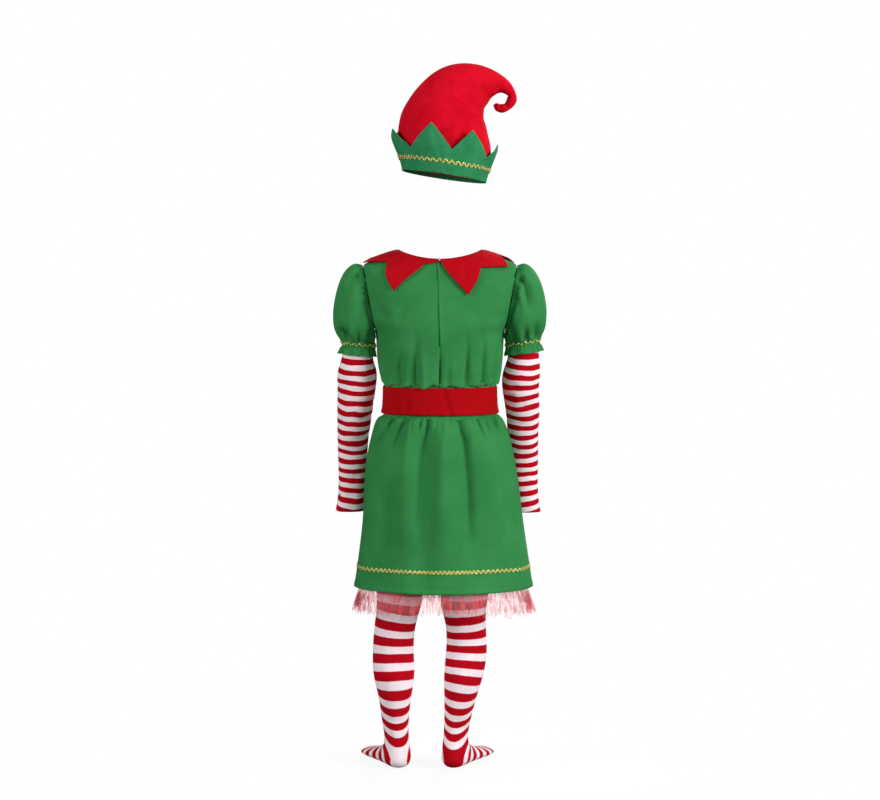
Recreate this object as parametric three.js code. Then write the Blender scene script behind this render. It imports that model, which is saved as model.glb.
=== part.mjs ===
// Elf costume for a child about 1.23 m tall: pointed felt hat, puff-sleeved dress with belt, net
// petticoat, striped undersleeves and striped tights, all as hollow cloth walls in their worn form.
// Millimetres. +X is the wearer's right, +Y the front, +Z up. The origin lies between the shoulders,
// at the height where the dress hangs on them.
import * as THREE from "three";

// Cloth thicknesses and the air between pieces
const DRESS_CLOTH = 1.2;
const FELT = 2;
const BELT_CLOTH = 2;
const COLLAR_CLOTH = 1.6;
const KNIT = 1;
const NET = 1;
const SEAM_GAP = 0.3;
const COLLAR_LIFT = { neck: 0.6, edge: 3.8 };

// Colours, read off the garment
const DRESS_GREEN = 0x2f8246;
const COLLAR_RED = 0xb2020f;
const HAT_RED = 0xd80c28;
const HAT_GREEN = 0x2f8254;
const GOLD = 0xcdbb4a;
const NET_RED = 0xe4818a;
const KNIT_RED = 0xb80f22;

// Bodice rings from the neckline to the waist seam. A ring dips from the side to the back and the
// front, so its height is given at all three. `square` is the superellipse exponent.
const BODICE = [
  { half: 75, back: 56, front: 64, backZ: 6, sideZ: 21, frontZ: -30, square: 2.2 },
  { half: 97, back: 68, front: 78, backZ: -12, sideZ: 14, frontZ: -46, square: 2.25 },
  { half: 120, back: 79, front: 87, backZ: -33, sideZ: 5, frontZ: -62, square: 2.3 },
  { half: 144, back: 87, front: 92, backZ: -56, sideZ: -7, frontZ: -78, square: 2.4 },
  { half: 144, back: 91, front: 95, backZ: -86, sideZ: -45, frontZ: -102, square: 2.4 },
  { half: 135, back: 94, front: 97, backZ: -116, sideZ: -95, frontZ: -126, square: 2.4 },
  { half: 119, back: 94, front: 97, backZ: -144, sideZ: -142, frontZ: -146, square: 2.3 },
  { half: 117, back: 92, front: 93, backZ: -185, sideZ: -185, frontZ: -185, square: 2.25 },
  { half: 112, back: 90, front: 89, backZ: -212, sideZ: -212, frontZ: -212, square: 2.2 },
  { half: 109, back: 88, front: 86, backZ: -223.5, sideZ: -223.5, frontZ: -223.5, square: 2.2 },
  { half: 103.8, back: 84, front: 82, backZ: -229.5, sideZ: -229.5, frontZ: -229.5, square: 2.2 },
  { half: 103.8, back: 84, front: 82, backZ: -258, sideZ: -258, frontZ: -258, square: 2.2 },
];
const SHOULDER_ROW = 3;
const UNDERARM_ROW = 6;
const WAIST_ROW = 11;
const ARMHOLE_TOP = { x: 144, z: -7 };
const ARMHOLE_SLOPE = 0.185;
const SLIT = { degrees: 1.2, rows: 0.6 };

// Skirt rings from the waist seam to the hem. `shift` moves a ring towards the wearer's right.
const SKIRT = [
  { z: -258, half: 103.8, back: 84, front: 82, shift: 0 },
  { z: -282, half: 106, back: 86, front: 84, shift: 0 },
  { z: -295, half: 119, back: 94, front: 90, shift: 1 },
  { z: -325, half: 130, back: 101, front: 96, shift: 1 },
  { z: -370, half: 139, back: 107, front: 102, shift: 1 },
  { z: -430, half: 146, back: 113, front: 108, shift: 3.5 },
  { z: -490, half: 151.5, back: 118, front: 113, shift: 5.5 },
  { z: -550, half: 159, back: 122, front: 118, shift: 6.5 },
  { z: -588, half: 165, back: 125, front: 122, shift: 6.5 },
  { z: -610, half: 168, back: 127, front: 124, shift: 6.5 },
];
const SKIRT_SQUARE = 2.15;
const HEM_ROW = SKIRT.length - 1;
const SIDE_LIFT = 3;
const SKIRT_COLUMNS = 30;
const SKIRT_GATHERS = { waves: 24, depth: 1.6, from: -280, full: -294, gone: -350 };

// Folds. Angles run from the centre back (0) past the wearer's right (90) to the front (180).
// Depth is towards the body, so a ridge is negative; spread is the half width in degrees.
const BODICE_FOLDS = [
  { angle: -52, depth: 4.0, spread: 8, from: -130 },
  { angle: -39, depth: -2.5, spread: 6, from: -170 },
  { angle: -26, depth: 3.5, spread: 5, from: -150 },
  { angle: -11, depth: -2.0, spread: 8, from: -180 },
  { angle: 13, depth: 3.0, spread: 6, from: -170 },
  { angle: 22, depth: -1.5, spread: 4, from: -190 },
  { angle: 30, depth: 3.2, spread: 5, from: -150 },
  { angle: 45, depth: -2.5, spread: 6, from: -180 },
  { angle: 61, depth: 3.8, spread: 6, from: -150 },
  { angle: 112, depth: 3.5, spread: 7, from: -160 },
  { angle: 131, depth: 3.0, spread: 6, from: -175 },
  { angle: 151, depth: 3.6, spread: 6, from: -150 },
  { angle: 172, depth: 2.6, spread: 6, from: -185 },
  { angle: 197, depth: 3.4, spread: 7, from: -165 },
  { angle: 219, depth: 2.8, spread: 5, from: -180 },
  { angle: 243, depth: 3.6, spread: 7, from: -150 },
];
const BODICE_FOLDS_FULL = -221;
const BODICE_FOLDS_END = -229.5;
const SKIRT_FOLDS = [
  { belt: -46, hem: -84, depth: 5.5, spread: 5, from: -284, full: -300, fade: -345, gone: -430 },
  { belt: -37, hem: -46, depth: 3.5, spread: 3.5, from: -284, full: -296, fade: -330, gone: -385 },
  { belt: -11, hem: -15, depth: 5.5, spread: 6, from: -284, full: -310, fade: -540, gone: -640 },
  { belt: 3, hem: 2, depth: -4.5, spread: 8, from: -284, full: -320, fade: -540, gone: -640 },
  { belt: 21, hem: 21, depth: 6.0, spread: 9, from: -284, full: -330, fade: -540, gone: -660 },
  { belt: 40, hem: 38, depth: -2.5, spread: 7, from: -290, full: -330, fade: -450, gone: -560 },
  { belt: 60, hem: 44, depth: 4.5, spread: 4.5, from: -284, full: -300, fade: -330, gone: -400 },
  { belt: 58, hem: 57, depth: -4.0, spread: 9, from: -380, full: -450, fade: -560, gone: -660 },
  { belt: 80, hem: 76, depth: 3.5, spread: 6, from: -284, full: -305, fade: -360, gone: -460 },
  { belt: -42, hem: -42, depth: 5.0, spread: 11, from: -370, full: -430, fade: -570, gone: -660 },
  { belt: -28, hem: -28, depth: -2.5, spread: 7, from: -330, full: -370, fade: -470, gone: -560 },
  { belt: -63, hem: -63, depth: -3.0, spread: 7, from: -380, full: -430, fade: -560, gone: -660 },
  { belt: 104, hem: 110, depth: 4.0, spread: 6, from: -284, full: -305, fade: -400, gone: -520 },
  { belt: 124, hem: 130, depth: 5.0, spread: 8, from: -284, full: -320, fade: -540, gone: -650 },
  { belt: 143, hem: 147, depth: -3.5, spread: 7, from: -300, full: -350, fade: -540, gone: -650 },
  { belt: 160, hem: 164, depth: 5.5, spread: 8, from: -284, full: -320, fade: -540, gone: -660 },
  { belt: 181, hem: 183, depth: -3.0, spread: 8, from: -300, full: -360, fade: -520, gone: -640 },
  { belt: 200, hem: 199, depth: 5.0, spread: 7, from: -284, full: -310, fade: -500, gone: -640 },
  { belt: 221, hem: 226, depth: 4.5, spread: 9, from: -300, full: -350, fade: -550, gone: -660 },
  { belt: 243, hem: 252, depth: 4.5, spread: 5, from: -284, full: -300, fade: -350, gone: -440 },
];

// A skirt fold's angle goes from its `belt` value to its `hem` value between these heights.
const FOLD_SPAN = { belt: -284, hem: -610 };

// Belt rings and its lap at the centre front
const BELT = [
  { z: -231, half: 107, back: 87.2, front: 85.2, shift: 0 },
  { z: -244, half: 107.4, back: 87.6, front: 85.6, shift: 0 },
  { z: -266, half: 108.2, back: 88.2, front: 86.2, shift: 0 },
  { z: -281.5, half: 109.6, back: 89.6, front: 87.6, shift: 0 },
];
const BELT_SQUARE = 2.2;
const BELT_LAP = { start: -176, rise: 150, over: 168, end: 206, lift: 2.5 };

// Net petticoat rings: the strip hangs inside the hem and flares below it.
const PETTICOAT = [
  { z: -566, half: 159.1, back: 121.1, front: 117.7, shift: 6.5 },
  { z: -607, half: 163.7, back: 122.7, front: 119.9, shift: 6.5 },
  { z: -634, half: 170, back: 129, front: 126, shift: 6 },
  { z: -661, half: 178, back: 136, front: 133, shift: 6 },
];
const PETTICOAT_WAVES = { count: 16, hidden: 0.3, shown: 4.5 };
const PETTICOAT_COLUMNS = 64;
const PETTICOAT_EDGE = [
  { waves: 3, swing: 5, phase: 40 },
  { waves: 11, swing: 2.5, phase: 10 },
];

// Collar outlines: angle from the centre back and how many bodice rows the edge reaches down.
const COLLAR_RIGHT = [
  { angle: 1.3, reach: 0.35 },
  { angle: 20, reach: 3.3 },
  { angle: 40, reach: 1.6 },
  { angle: 62, reach: 2.6 },
  { angle: 81, reach: 1.5 },
  { angle: 104, reach: 2.7 },
  { angle: 122, reach: 1.5 },
  { angle: 148, reach: 3.3 },
  { angle: 164, reach: 1.1 },
  { angle: 179.6, reach: 0.7 },
];
const COLLAR_LEFT = [
  { angle: -1.3, reach: 0.4 },
  { angle: -18.5, reach: 0.75 },
  { angle: -33, reach: 3.35 },
  { angle: -57, reach: 1.6 },
  { angle: -80, reach: 2.8 },
  { angle: -99, reach: 1.5 },
  { angle: -117, reach: 2.7 },
  { angle: -136, reach: 1.5 },
  { angle: -157, reach: 3.4 },
  { angle: -170, reach: 1.1 },
  { angle: -179.6, reach: 0.7 },
];
const COLLAR_STEPS = 3;
const COLLAR_ROWS = 4;
const COLLAR_NECK_ROW = 0.02;

// Puff sleeve rings, seen from behind: their right and left ends [x, z], the centre's y and the
// half depth front to back.
const PUFF_RIGHT = [
  { right: [144, -7], left: [119, -142], y: 0, depth: 45 },
  { right: [156.5, -5], left: [121.5, -144.5], y: 0, depth: 51 },
  { right: [175, -18], left: [123.5, -147], y: 1, depth: 54 },
  { right: [191, -43], left: [124.5, -149.5], y: 2, depth: 55 },
  { right: [198, -86], left: [124.5, -151.5], y: 3, depth: 52 },
  { right: [196, -122], left: [124, -153.5], y: 4, depth: 44 },
  { right: [186, -146], left: [124, -156], y: 5, depth: 34 },
  { right: [189.5, -157], left: [123.5, -167], y: 5, depth: 36.5 },
  { right: [191.5, -166], left: [123, -175], y: 5, depth: 38.5 },
];
const PUFF_LEFT = [
  { left: [-144, -7], right: [-119, -142], y: 0, depth: 45 },
  { left: [-157, -6], right: [-121.2, -144.5], y: 0, depth: 51 },
  { left: [-176, -18], right: [-122.8, -147], y: 1, depth: 54 },
  { left: [-191, -47], right: [-123.4, -149.5], y: 2, depth: 54 },
  { left: [-198, -90], right: [-123.4, -151.5], y: 3, depth: 51 },
  { left: [-195, -126], right: [-122.6, -153.5], y: 4, depth: 43 },
  { left: [-183, -151], right: [-121.8, -157], y: 5, depth: 33 },
  { left: [-186, -162], right: [-122, -168], y: 5, depth: 35.5 },
  { left: [-188.5, -171], right: [-121.8, -177.5], y: 5, depth: 37.5 },
];
const ELASTIC_ROW = 6;
const PUFF_COLUMNS = 36;
const PUFF_ROWS = [0, 0.7, 1.4, 2.4, 3.6, 4.8, 6, 6.7, 8];
const PUFF_RIPPLES = [
  { waves: 12, depth: 3, row: 1.1, reach: 0.9 },
  { waves: 6, depth: 2.5, row: 3, reach: 2.2 },
  { waves: 12, depth: 3, row: 5.2, reach: 0.6 },
  { waves: 9, depth: 4.5, row: 8.4, reach: 1.5 },
];

// Undersleeve rings, seen from behind; y moves the arm forward, clear of the skirt.
const UNDERSLEEVE_RIGHT = [
  { right: [184.3, -146.5], left: [125.7, -156], y: 5, depth: 32.3 },
  { right: [185.5, -174], left: [126.5, -180], y: 7, depth: 32.6 },
  { right: [188, -205], left: [118.5, -206], y: 12, depth: 35 },
  { right: [186, -235], left: [117, -235], y: 18, depth: 35 },
  { right: [187, -265], left: [121.5, -265], y: 25, depth: 33 },
  { right: [187, -295], left: [125.5, -295], y: 34, depth: 31 },
  { right: [186, -328], left: [128, -328], y: 46, depth: 29 },
  { right: [186, -370], left: [131, -370], y: 60, depth: 28 },
  { right: [186, -410], left: [133.5, -410], y: 70, depth: 27 },
  { right: [187.5, -448], left: [136, -448], y: 77, depth: 26 },
  { right: [192, -477], left: [138.5, -477], y: 83, depth: 27 },
];
const UNDERSLEEVE_LEFT = [
  { left: [-181.3, -151.3], right: [-123.5, -157], y: 5, depth: 31.3 },
  { left: [-183.8, -178], right: [-125, -183], y: 7, depth: 31.3 },
  { left: [-191.5, -205], right: [-119, -205], y: 12, depth: 35 },
  { left: [-192.5, -235], right: [-120.5, -235], y: 17, depth: 36 },
  { left: [-193, -265], right: [-125, -265], y: 22, depth: 34 },
  { left: [-193.5, -295], right: [-129, -295], y: 30, depth: 32 },
  { left: [-193.5, -328], right: [-134, -328], y: 40, depth: 30 },
  { left: [-193, -370], right: [-138, -370], y: 53, depth: 28 },
  { left: [-192.5, -410], right: [-140, -410], y: 63, depth: 27 },
  { left: [-194.5, -447], right: [-142, -447], y: 70, depth: 26 },
  { left: [-199, -475], right: [-145.5, -475], y: 76, depth: 27 },
];

// Tights. Each leg ring has a front and a back point, [forward, z], measured from the leg's own
// upright line at x, a half width and the turn of the toes. The foot rings fan round the instep.
const LEG_RIGHT = [
  { x: 48, front: [68, -430], back: [-70, -430], half: 55.4, turn: 0 },
  { x: 47.5, front: [60, -490], back: [-62, -490], half: 51, turn: 2 },
  { x: 47, front: [53, -550], back: [-57, -550], half: 48, turn: 4 },
  { x: 46.5, front: [47, -610], back: [-53, -610], half: 45.5, turn: 6 },
  { x: 45.5, front: [43, -650], back: [-50, -650], half: 42, turn: 7 },
  { x: 49, front: [41, -685], back: [-45, -685], half: 37.5, turn: 8 },
  { x: 50.3, front: [40, -715], back: [-42, -715], half: 37.5, turn: 9 },
  { x: 49.5, front: [37, -745], back: [-45, -745], half: 38.3, turn: 10 },
  { x: 46.7, front: [33, -775], back: [-50, -775], half: 36.5, turn: 12 },
  { x: 43, front: [30, -805], back: [-49, -805], half: 32, turn: 14 },
  { x: 38.3, front: [28, -835], back: [-42, -835], half: 27, turn: 16 },
  { x: 34.6, front: [27, -862], back: [-36, -862], half: 24, turn: 18 },
  { x: 31, front: [27, -888], back: [-32, -888], half: 22.3, turn: 20 },
  { x: 30, front: [29, -903], back: [-34, -918], half: 23.5, turn: 20 },
  { x: 30, front: [33, -908], back: [-35, -938], half: 25.5, turn: 20 },
  { x: 30, front: [40, -912], back: [-22, -951], half: 27, turn: 20 },
  { x: 30, front: [52, -918], back: [12, -952], half: 28.5, turn: 20 },
  { x: 30, front: [76, -926], back: [52, -952], half: 31.5, turn: 20 },
  { x: 30, front: [104, -933], back: [94, -952], half: 35, turn: 20 },
  { x: 30, front: [130, -937], back: [127, -952], half: 32, turn: 20 },
  { x: 30, front: [145, -938.5], back: [144, -951.5], half: 24, turn: 20 },
  { x: 30, front: [153, -940.5], back: [153, -949.5], half: 13, turn: 20 },
  { x: 30, front: [156, -943.5], back: [156, -946.5], half: 4, turn: 20 },
];
const LEG_LEFT = [
  { x: -63, front: [68, -430], back: [-70, -430], half: 54.6, turn: 0 },
  { x: -68, front: [60, -490], back: [-62, -490], half: 50.5, turn: -2 },
  { x: -72, front: [53, -550], back: [-57, -550], half: 47.5, turn: -4 },
  { x: -75.5, front: [47, -610], back: [-53, -610], half: 44.5, turn: -6 },
  { x: -78.5, front: [43, -650], back: [-50, -650], half: 41, turn: -7 },
  { x: -85, front: [41, -685], back: [-45, -685], half: 38.5, turn: -8 },
  { x: -87.5, front: [40, -715], back: [-42, -715], half: 38, turn: -9 },
  { x: -88.8, front: [37, -745], back: [-45, -745], half: 38.5, turn: -10 },
  { x: -88.5, front: [33, -775], back: [-50, -775], half: 38, turn: -12 },
  { x: -87.5, front: [30, -805], back: [-49, -805], half: 32.5, turn: -13 },
  { x: -86.5, front: [28, -835], back: [-42, -835], half: 27.6, turn: -14 },
  { x: -85.5, front: [27, -862], back: [-36, -862], half: 24.8, turn: -16 },
  { x: -83.2, front: [27, -888], back: [-32, -888], half: 22.3, turn: -18 },
  { x: -82, front: [29, -903], back: [-34, -918], half: 23.5, turn: -18 },
  { x: -82, front: [33, -908], back: [-35, -938], half: 25.5, turn: -18 },
  { x: -82, front: [40, -912], back: [-22, -951], half: 27, turn: -18 },
  { x: -82, front: [52, -918], back: [12, -952], half: 28.5, turn: -18 },
  { x: -82, front: [76, -926], back: [52, -952], half: 31.5, turn: -18 },
  { x: -82, front: [104, -933], back: [94, -952], half: 35, turn: -18 },
  { x: -82, front: [130, -937], back: [127, -952], half: 32, turn: -18 },
  { x: -82, front: [145, -938.5], back: [144, -951.5], half: 24, turn: -18 },
  { x: -82, front: [153, -940.5], back: [153, -949.5], half: 13, turn: -18 },
  { x: -82, front: [156, -943.5], back: [156, -946.5], half: 4, turn: -18 },
];
const LEG_ROWS = [0, 1.5, 3, 4, 5, 6.5, 8, 9.5, 11, 12, 13, 14, 15, 16, 17, 18, 19, 20, 21, 22];
const BRIEF = [
  { z: -262, half: 101.6, back: 82, front: 80, shift: 0 },
  { z: -286, half: 101.2, back: 82, front: 80, shift: -1 },
  { z: -306, half: 104, back: 85, front: 81.5, shift: -2 },
  { z: -335, half: 112, back: 89, front: 84, shift: -4.5 },
  { z: -365, half: 117.5, back: 91, front: 85, shift: -7 },
  { z: -395, half: 119.5, back: 88, front: 82, shift: -7.7 },
];
const BRIEF_SQUARE = 2.2;

// Hat crown rings from the tip of the curl to the rim, given as the sleeves' rings are. In the
// curl the left end runs round the outside and the right end round the inside.
const CROWN = [
  { left: [99.2, 288.6], right: [98.9, 290.4], y: 0, depth: 0.8 },
  { left: [100.5, 284.5], right: [100, 293.5], y: 0, depth: 4 },
  { left: [106, 280], right: [105, 296], y: 0, depth: 7 },
  { left: [118, 277], right: [111, 293], y: 0, depth: 8.5 },
  { left: [131, 283], right: [117, 295], y: 0, depth: 9 },
  { left: [141, 293], right: [122, 300], y: 0, depth: 9.5 },
  { left: [143.5, 307], right: [124, 304.5], y: 0, depth: 10 },
  { left: [136, 326], right: [123.5, 308.5], y: 0, depth: 12 },
  { left: [121, 343], right: [120.5, 311.5], y: 0, depth: 18 },
  { left: [90, 361], right: [115, 313.5], y: 0, depth: 27 },
  { left: [48, 369.5], right: [108.5, 312.5], y: 0, depth: 39 },
  { left: [4, 361], right: [102, 308.5], y: 0, depth: 51 },
  { left: [-30, 337], right: [95, 302], y: 0, depth: 62 },
  { left: [-52.5, 311], right: [88.5, 293], y: 0, depth: 71 },
  { left: [-69, 284], right: [83, 284], y: 0, depth: 79 },
  { left: [-76, 262], right: [83.8, 266], y: 0, depth: 84 },
  { left: [-78.5, 243], right: [88, 245], y: 0, depth: 89 },
  { left: [-78.5, 224], right: [93, 221], y: 0, depth: 93 },
  { left: [-75.5, 200], right: [95, 198], y: 0, depth: 95 },
  { left: [-67.2, 173], right: [83.2, 151], y: 0, depth: 91.6 },
];
const CROWN_ROWS = [0, 1, 2, 3, 4, 5, 6, 7, 8, 9, 10, 11, 12, 13, 14, 15, 16.5, 18, 19];

// Hat band: tilted rings. Rise is measured straight up from the lower edge. The upper edge zigzags
// between peaks and the valleys midway between them.
const BAND = {
  centre: [7.6, 158.2],
  tiltDegrees: -8.4,
  rearLift: 4,
  rings: [
    { rise: 0, half: 79.4, depth: 95 },
    { rise: 24, half: 86, depth: 99.5 },
    { rise: 52, half: 98, depth: 107 },
    { rise: 75, half: 103, depth: 111.5 },
    { rise: 98, half: 106, depth: 114 },
  ],
  peaks: [
    { angle: -71.5, rise: 73, nextValley: 41 },
    { angle: -14, rise: 91, nextValley: 47 },
    { angle: 32, rise: 90, nextValley: 44 },
    { angle: 82.5, rise: 73, nextValley: 42 },
    { angle: 134, rise: 84, nextValley: 47 },
    { angle: 185, rise: 92, nextValley: 47 },
    { angle: 235, rise: 82, nextValley: 43 },
  ],
  stepsToPeak: 2,
};

// Ric-rac braid: one wave is one zigzag.
const BRAID = { width: 3.4, height: 1.2, feltLift: 1.1, clothLift: 1.6, swing: 5.6 };
const HEM_BRAID = { waves: 88, row: 7.5 };
const HAT_BRAID = { waves: 54, rise: 24 };
const CUFF_BRAID = { waves: PUFF_COLUMNS / 2, swing: 2.4, width: 2.6, lift: 2.3, drop: 1.6 };

const { sin, cos, abs, exp, floor, PI } = Math;
const radians = (degrees) => (degrees * PI) / 180;
const clamp = THREE.MathUtils.clamp;
const ease = (value, from, to) =>
  from < to
    ? THREE.MathUtils.smoothstep(value, from, to)
    : 1 - THREE.MathUtils.smoothstep(value, to, from);
const range = (count, from, to) =>
  Array.from({ length: count + 1 }, (_, i) => from + ((to - from) * i) / count);
const rowNumbers = (table) => table.map((_, i) => i);

// One column of a table at a fractional row, by a Catmull-Rom curve through the rows.
function smooth(table, read, row) {
  const last = table.length - 1;
  const i = clamp(floor(row), 0, last - 1);
  const t = row - i;
  const [a, b, c, d] = [-1, 0, 1, 2].map((k) => read(table[clamp(i + k, 0, last)]));
  const curve = 3 * (b - c) + d - a;
  return b + 0.5 * t * (c - a + t * (2 * a - 5 * b + 4 * c - d + t * curve));
}

// How far a superellipse of this exponent lies outside the plain ellipse at an angle.
function squareness(angle, square) {
  const power = abs(sin(angle)) ** square + abs(cos(angle)) ** square;
  return power ** (-1 / square);
}

// A fold's cross-section: 1 on its line, fading to nothing about two spreads away.
function bell(degrees, spread) {
  const turns = (((degrees % 360) + 540) % 360) - 180;
  return exp(-((turns / spread) ** 2));
}

// A body ring: half width, back and front depths, drawn in by the folds.
function ringPoint(degrees, { half, back, front, shift = 0, square, z, inward = 0 }) {
  const angle = radians(degrees);
  const reach = squareness(angle, square);
  const depth = cos(angle) > 0 ? back : front;
  const x = half * reach * sin(angle);
  const y = -depth * reach * cos(angle);
  const size = Math.hypot(x, y);
  const scale = (size - inward) / size;
  return new THREE.Vector3(shift + x * scale, y * scale, z);
}

// Outward direction of a cloth surface. Angles run round it and rows run down it.
function outward(surface, degrees, row) {
  const across = surface(degrees + 0.4, row).sub(surface(degrees - 0.4, row));
  const down = surface(degrees, row + 0.02).sub(surface(degrees, row - 0.02));
  return down.cross(across).normalize();
}

// The point `slide` millimetres down the cloth from a row, lifted off its outer face.
function onCloth(surface, degrees, row, slide, lift) {
  const step = 0.05;
  const speed = surface(degrees, row + step).distanceTo(surface(degrees, row - step)) / (2 * step);
  const at = row + slide / speed;
  return surface(degrees, at).addScaledVector(outward(surface, degrees, at), lift);
}

// A closed mesh from outer and inner points: rows[j][i], open at the rows' ends unless `round`,
// with its last row drawn together to a point if `capped`.
function wallMesh(outer, inner, round, capped) {
  const rows = outer.length;
  const columns = outer[0].length;
  const points = [...outer.flat(), ...inner.flat()];
  const faces = [];
  const at = (face, j, i) => face * rows * columns + j * columns + (i % columns);
  const quad = (a, b, c, d) => faces.push(a, b, c, a, c, d);
  const spans = round ? columns : columns - 1;
  for (let j = 0; j + 1 < rows; j++)
    for (let i = 0; i < spans; i++) {
      quad(at(0, j, i), at(0, j + 1, i), at(0, j + 1, i + 1), at(0, j, i + 1));
      quad(at(1, j, i), at(1, j, i + 1), at(1, j + 1, i + 1), at(1, j + 1, i));
    }
  for (let i = 0; i < spans; i++) {
    quad(at(0, 0, i), at(0, 0, i + 1), at(1, 0, i + 1), at(1, 0, i));
    const end = rows - 1;
    if (!capped) quad(at(0, end, i), at(1, end, i), at(1, end, i + 1), at(0, end, i + 1));
  }
  if (!round)
    for (let j = 0; j + 1 < rows; j++) {
      quad(at(0, j, 0), at(1, j, 0), at(1, j + 1, 0), at(0, j + 1, 0));
      const end = columns - 1;
      quad(at(0, j, end), at(0, j + 1, end), at(1, j + 1, end), at(1, j, end));
    }
  if (capped)
    for (const face of [0, 1]) {
      const row = (face ? inner : outer)[rows - 1];
      const pole = row.reduce((sum, p) => sum.add(p), new THREE.Vector3()).divideScalar(columns);
      points.push(pole);
      for (let i = 0; i < columns; i++) {
        const [a, b] = [at(face, rows - 1, i), at(face, rows - 1, i + 1)];
        faces.push(...(face ? [a, b, points.length - 1] : [b, a, points.length - 1]));
      }
    }
  const geometry = new THREE.BufferGeometry();
  geometry.setAttribute("position", new THREE.Float32BufferAttribute(points.flatMap((p) => p.toArray()), 3));
  geometry.setIndex(faces);
  return geometry;
}

// A cloth wall over a surface. `anglesAt(row)` gives the columns of a row, and every edge is
// trimmed by half a seam gap. The thickness is a number, or a function of the row.
function wall(surface, anglesAt, rows, thickness, { round = false, capped = false } = {}) {
  const outer = [];
  const inner = [];
  const trim = SEAM_GAP / 2;
  rows.forEach((row, j) => {
    const angles = anglesAt(row);
    const last = angles.length - 1;
    const depth = typeof thickness === "function" ? thickness(row) : thickness;
    outer.push([]);
    inner.push([]);
    angles.forEach((degrees, i) => {
      const point = surface(degrees, row);
      const normal = outward(surface, degrees, row);
      if (!round && (i === 0 || i === last)) {
        const inwards = surface(angles[i === 0 ? 1 : last - 1], row).sub(point);
        point.addScaledVector(inwards.normalize(), trim);
      }
      if (j === 0 || (j === rows.length - 1 && !capped)) {
        const nearby = row + (j === 0 ? 0.02 : -0.02);
        const inwards = surface(degrees, nearby).sub(surface(degrees, row));
        point.addScaledVector(inwards.normalize(), trim);
      }
      outer.at(-1).push(point);
      inner.at(-1).push(point.clone().addScaledVector(normal, -depth));
    });
  });
  return wallMesh(outer, inner, round, capped);
}

// The bodice as one whole surface, before the armholes are left out.
function bodice(degrees, row) {
  const read = (key) => smooth(BODICE, (ring) => ring[key], row);
  const depthAngle = cos(radians(degrees));
  const endZ = read(depthAngle > 0 ? "backZ" : "frontZ");
  const z = read("sideZ") + (endZ - read("sideZ")) * depthAngle ** 2;
  const inward = BODICE_FOLDS.reduce((sum, fold) => {
    const strength = ease(z, fold.from, BODICE_FOLDS_FULL) * ease(z, BODICE_FOLDS_END, BODICE_FOLDS_FULL);
    return sum + fold.depth * strength * bell(degrees - fold.angle, fold.spread);
  }, 0);
  return ringPoint(degrees, {
    half: read("half"),
    back: read("back"),
    front: read("front"),
    square: read("square"),
    z,
    inward,
  });
}

// The angle, between the centre line and the side, at which a ring meets the armhole.
function armholeAngle(row, front, side) {
  if (row <= SHOULDER_ROW || row >= UNDERARM_ROW) return 90;
  let [low, high] = [20, 90];
  for (let i = 0; i < 30; i++) {
    const middle = (low + high) / 2;
    const point = bodice(side * (front ? 180 - middle : middle), row);
    const outside = abs(point.x) > ARMHOLE_TOP.x + (point.z - ARMHOLE_TOP.z) * ARMHOLE_SLOPE;
    if (outside) high = middle;
    else low = middle;
  }
  return low;
}

// The armhole seam as a closed curve: up the back from the underarm, over, and down the front.
function armholeCurve(side) {
  const rows = range(9, UNDERARM_ROW, SHOULDER_ROW);
  const edge = (row, front) => {
    const angle = armholeAngle(row, front, side);
    return bodice(side * (front ? 180 - angle : angle), row);
  };
  const up = rows.map((row) => edge(row, false));
  const down = rows.slice(1, -1).map((row) => edge(row, true));
  return new THREE.CatmullRomCurve3([...up, ...down.reverse()], true, "centripetal");
}

// A tube through rings given by their right and left ends, seen from behind, and a half depth.
function outlineTube(table, square = () => 2) {
  return (degrees, row) => {
    const read = (pick) => smooth(table, pick, row);
    const end = (key) => [read((ring) => ring[key][0]), read((ring) => ring[key][1])];
    const [right, left] = [end("right"), end("left")];
    const angle = radians(degrees);
    const reach = squareness(angle, square(row));
    const across = (reach * sin(angle)) / 2;
    return new THREE.Vector3(
      (right[0] + left[0]) / 2 + (right[0] - left[0]) * across,
      read((ring) => ring.y) - read((ring) => ring.depth) * reach * cos(angle),
      (right[1] + left[1]) / 2 + (right[1] - left[1]) * across,
    );
  };
}

// A puff sleeve: its first ring is the armhole seam, and ripples gather it there and at the cuff.
function puffSleeve(table, side) {
  const tube = outlineTube(table);
  const seam = armholeCurve(side);
  const axis = new THREE.Vector3(1, 0, -ARMHOLE_SLOPE).normalize();
  if (side < 0) axis.x *= -1;
  return (degrees, row) => {
    const point = tube(degrees, row);
    const share = side > 0 ? (degrees + 90) / 360 : 0.5 - (degrees + 90) / 360;
    const onSeam = seam.getPointAt(((share % 1) + 1) % 1).addScaledVector(axis, row * 12 + SEAM_GAP);
    point.lerp(onSeam, 1 - ease(row, 0, 1.4));
    const centre = tube(degrees, row).add(tube(degrees + 180, row)).divideScalar(2);
    const away = point.clone().sub(centre).normalize();
    const upper = 0.5 + 0.5 * side * sin(radians(degrees));
    const ripple = PUFF_RIPPLES.reduce((sum, r) => {
      const near = exp(-(((row - r.row) / r.reach) ** 2)) * (row < 2 ? upper : 1);
      return sum + r.depth * near * (0.5 + 0.5 * sin(radians(degrees * r.waves + r.row * 50)));
    }, 0);
    return point.addScaledVector(away, ripple * ease(row, 0, 0.6));
  };
}

// An upright tube just below a sleeve's elastic ring, which the cuff's braid follows.
function cuffLine(table) {
  const tube = outlineTube(table);
  return (degrees, row) => {
    const point = tube(degrees, ELASTIC_ROW);
    point.z -= CUFF_BRAID.drop + row;
    return point;
  };
}

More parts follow.
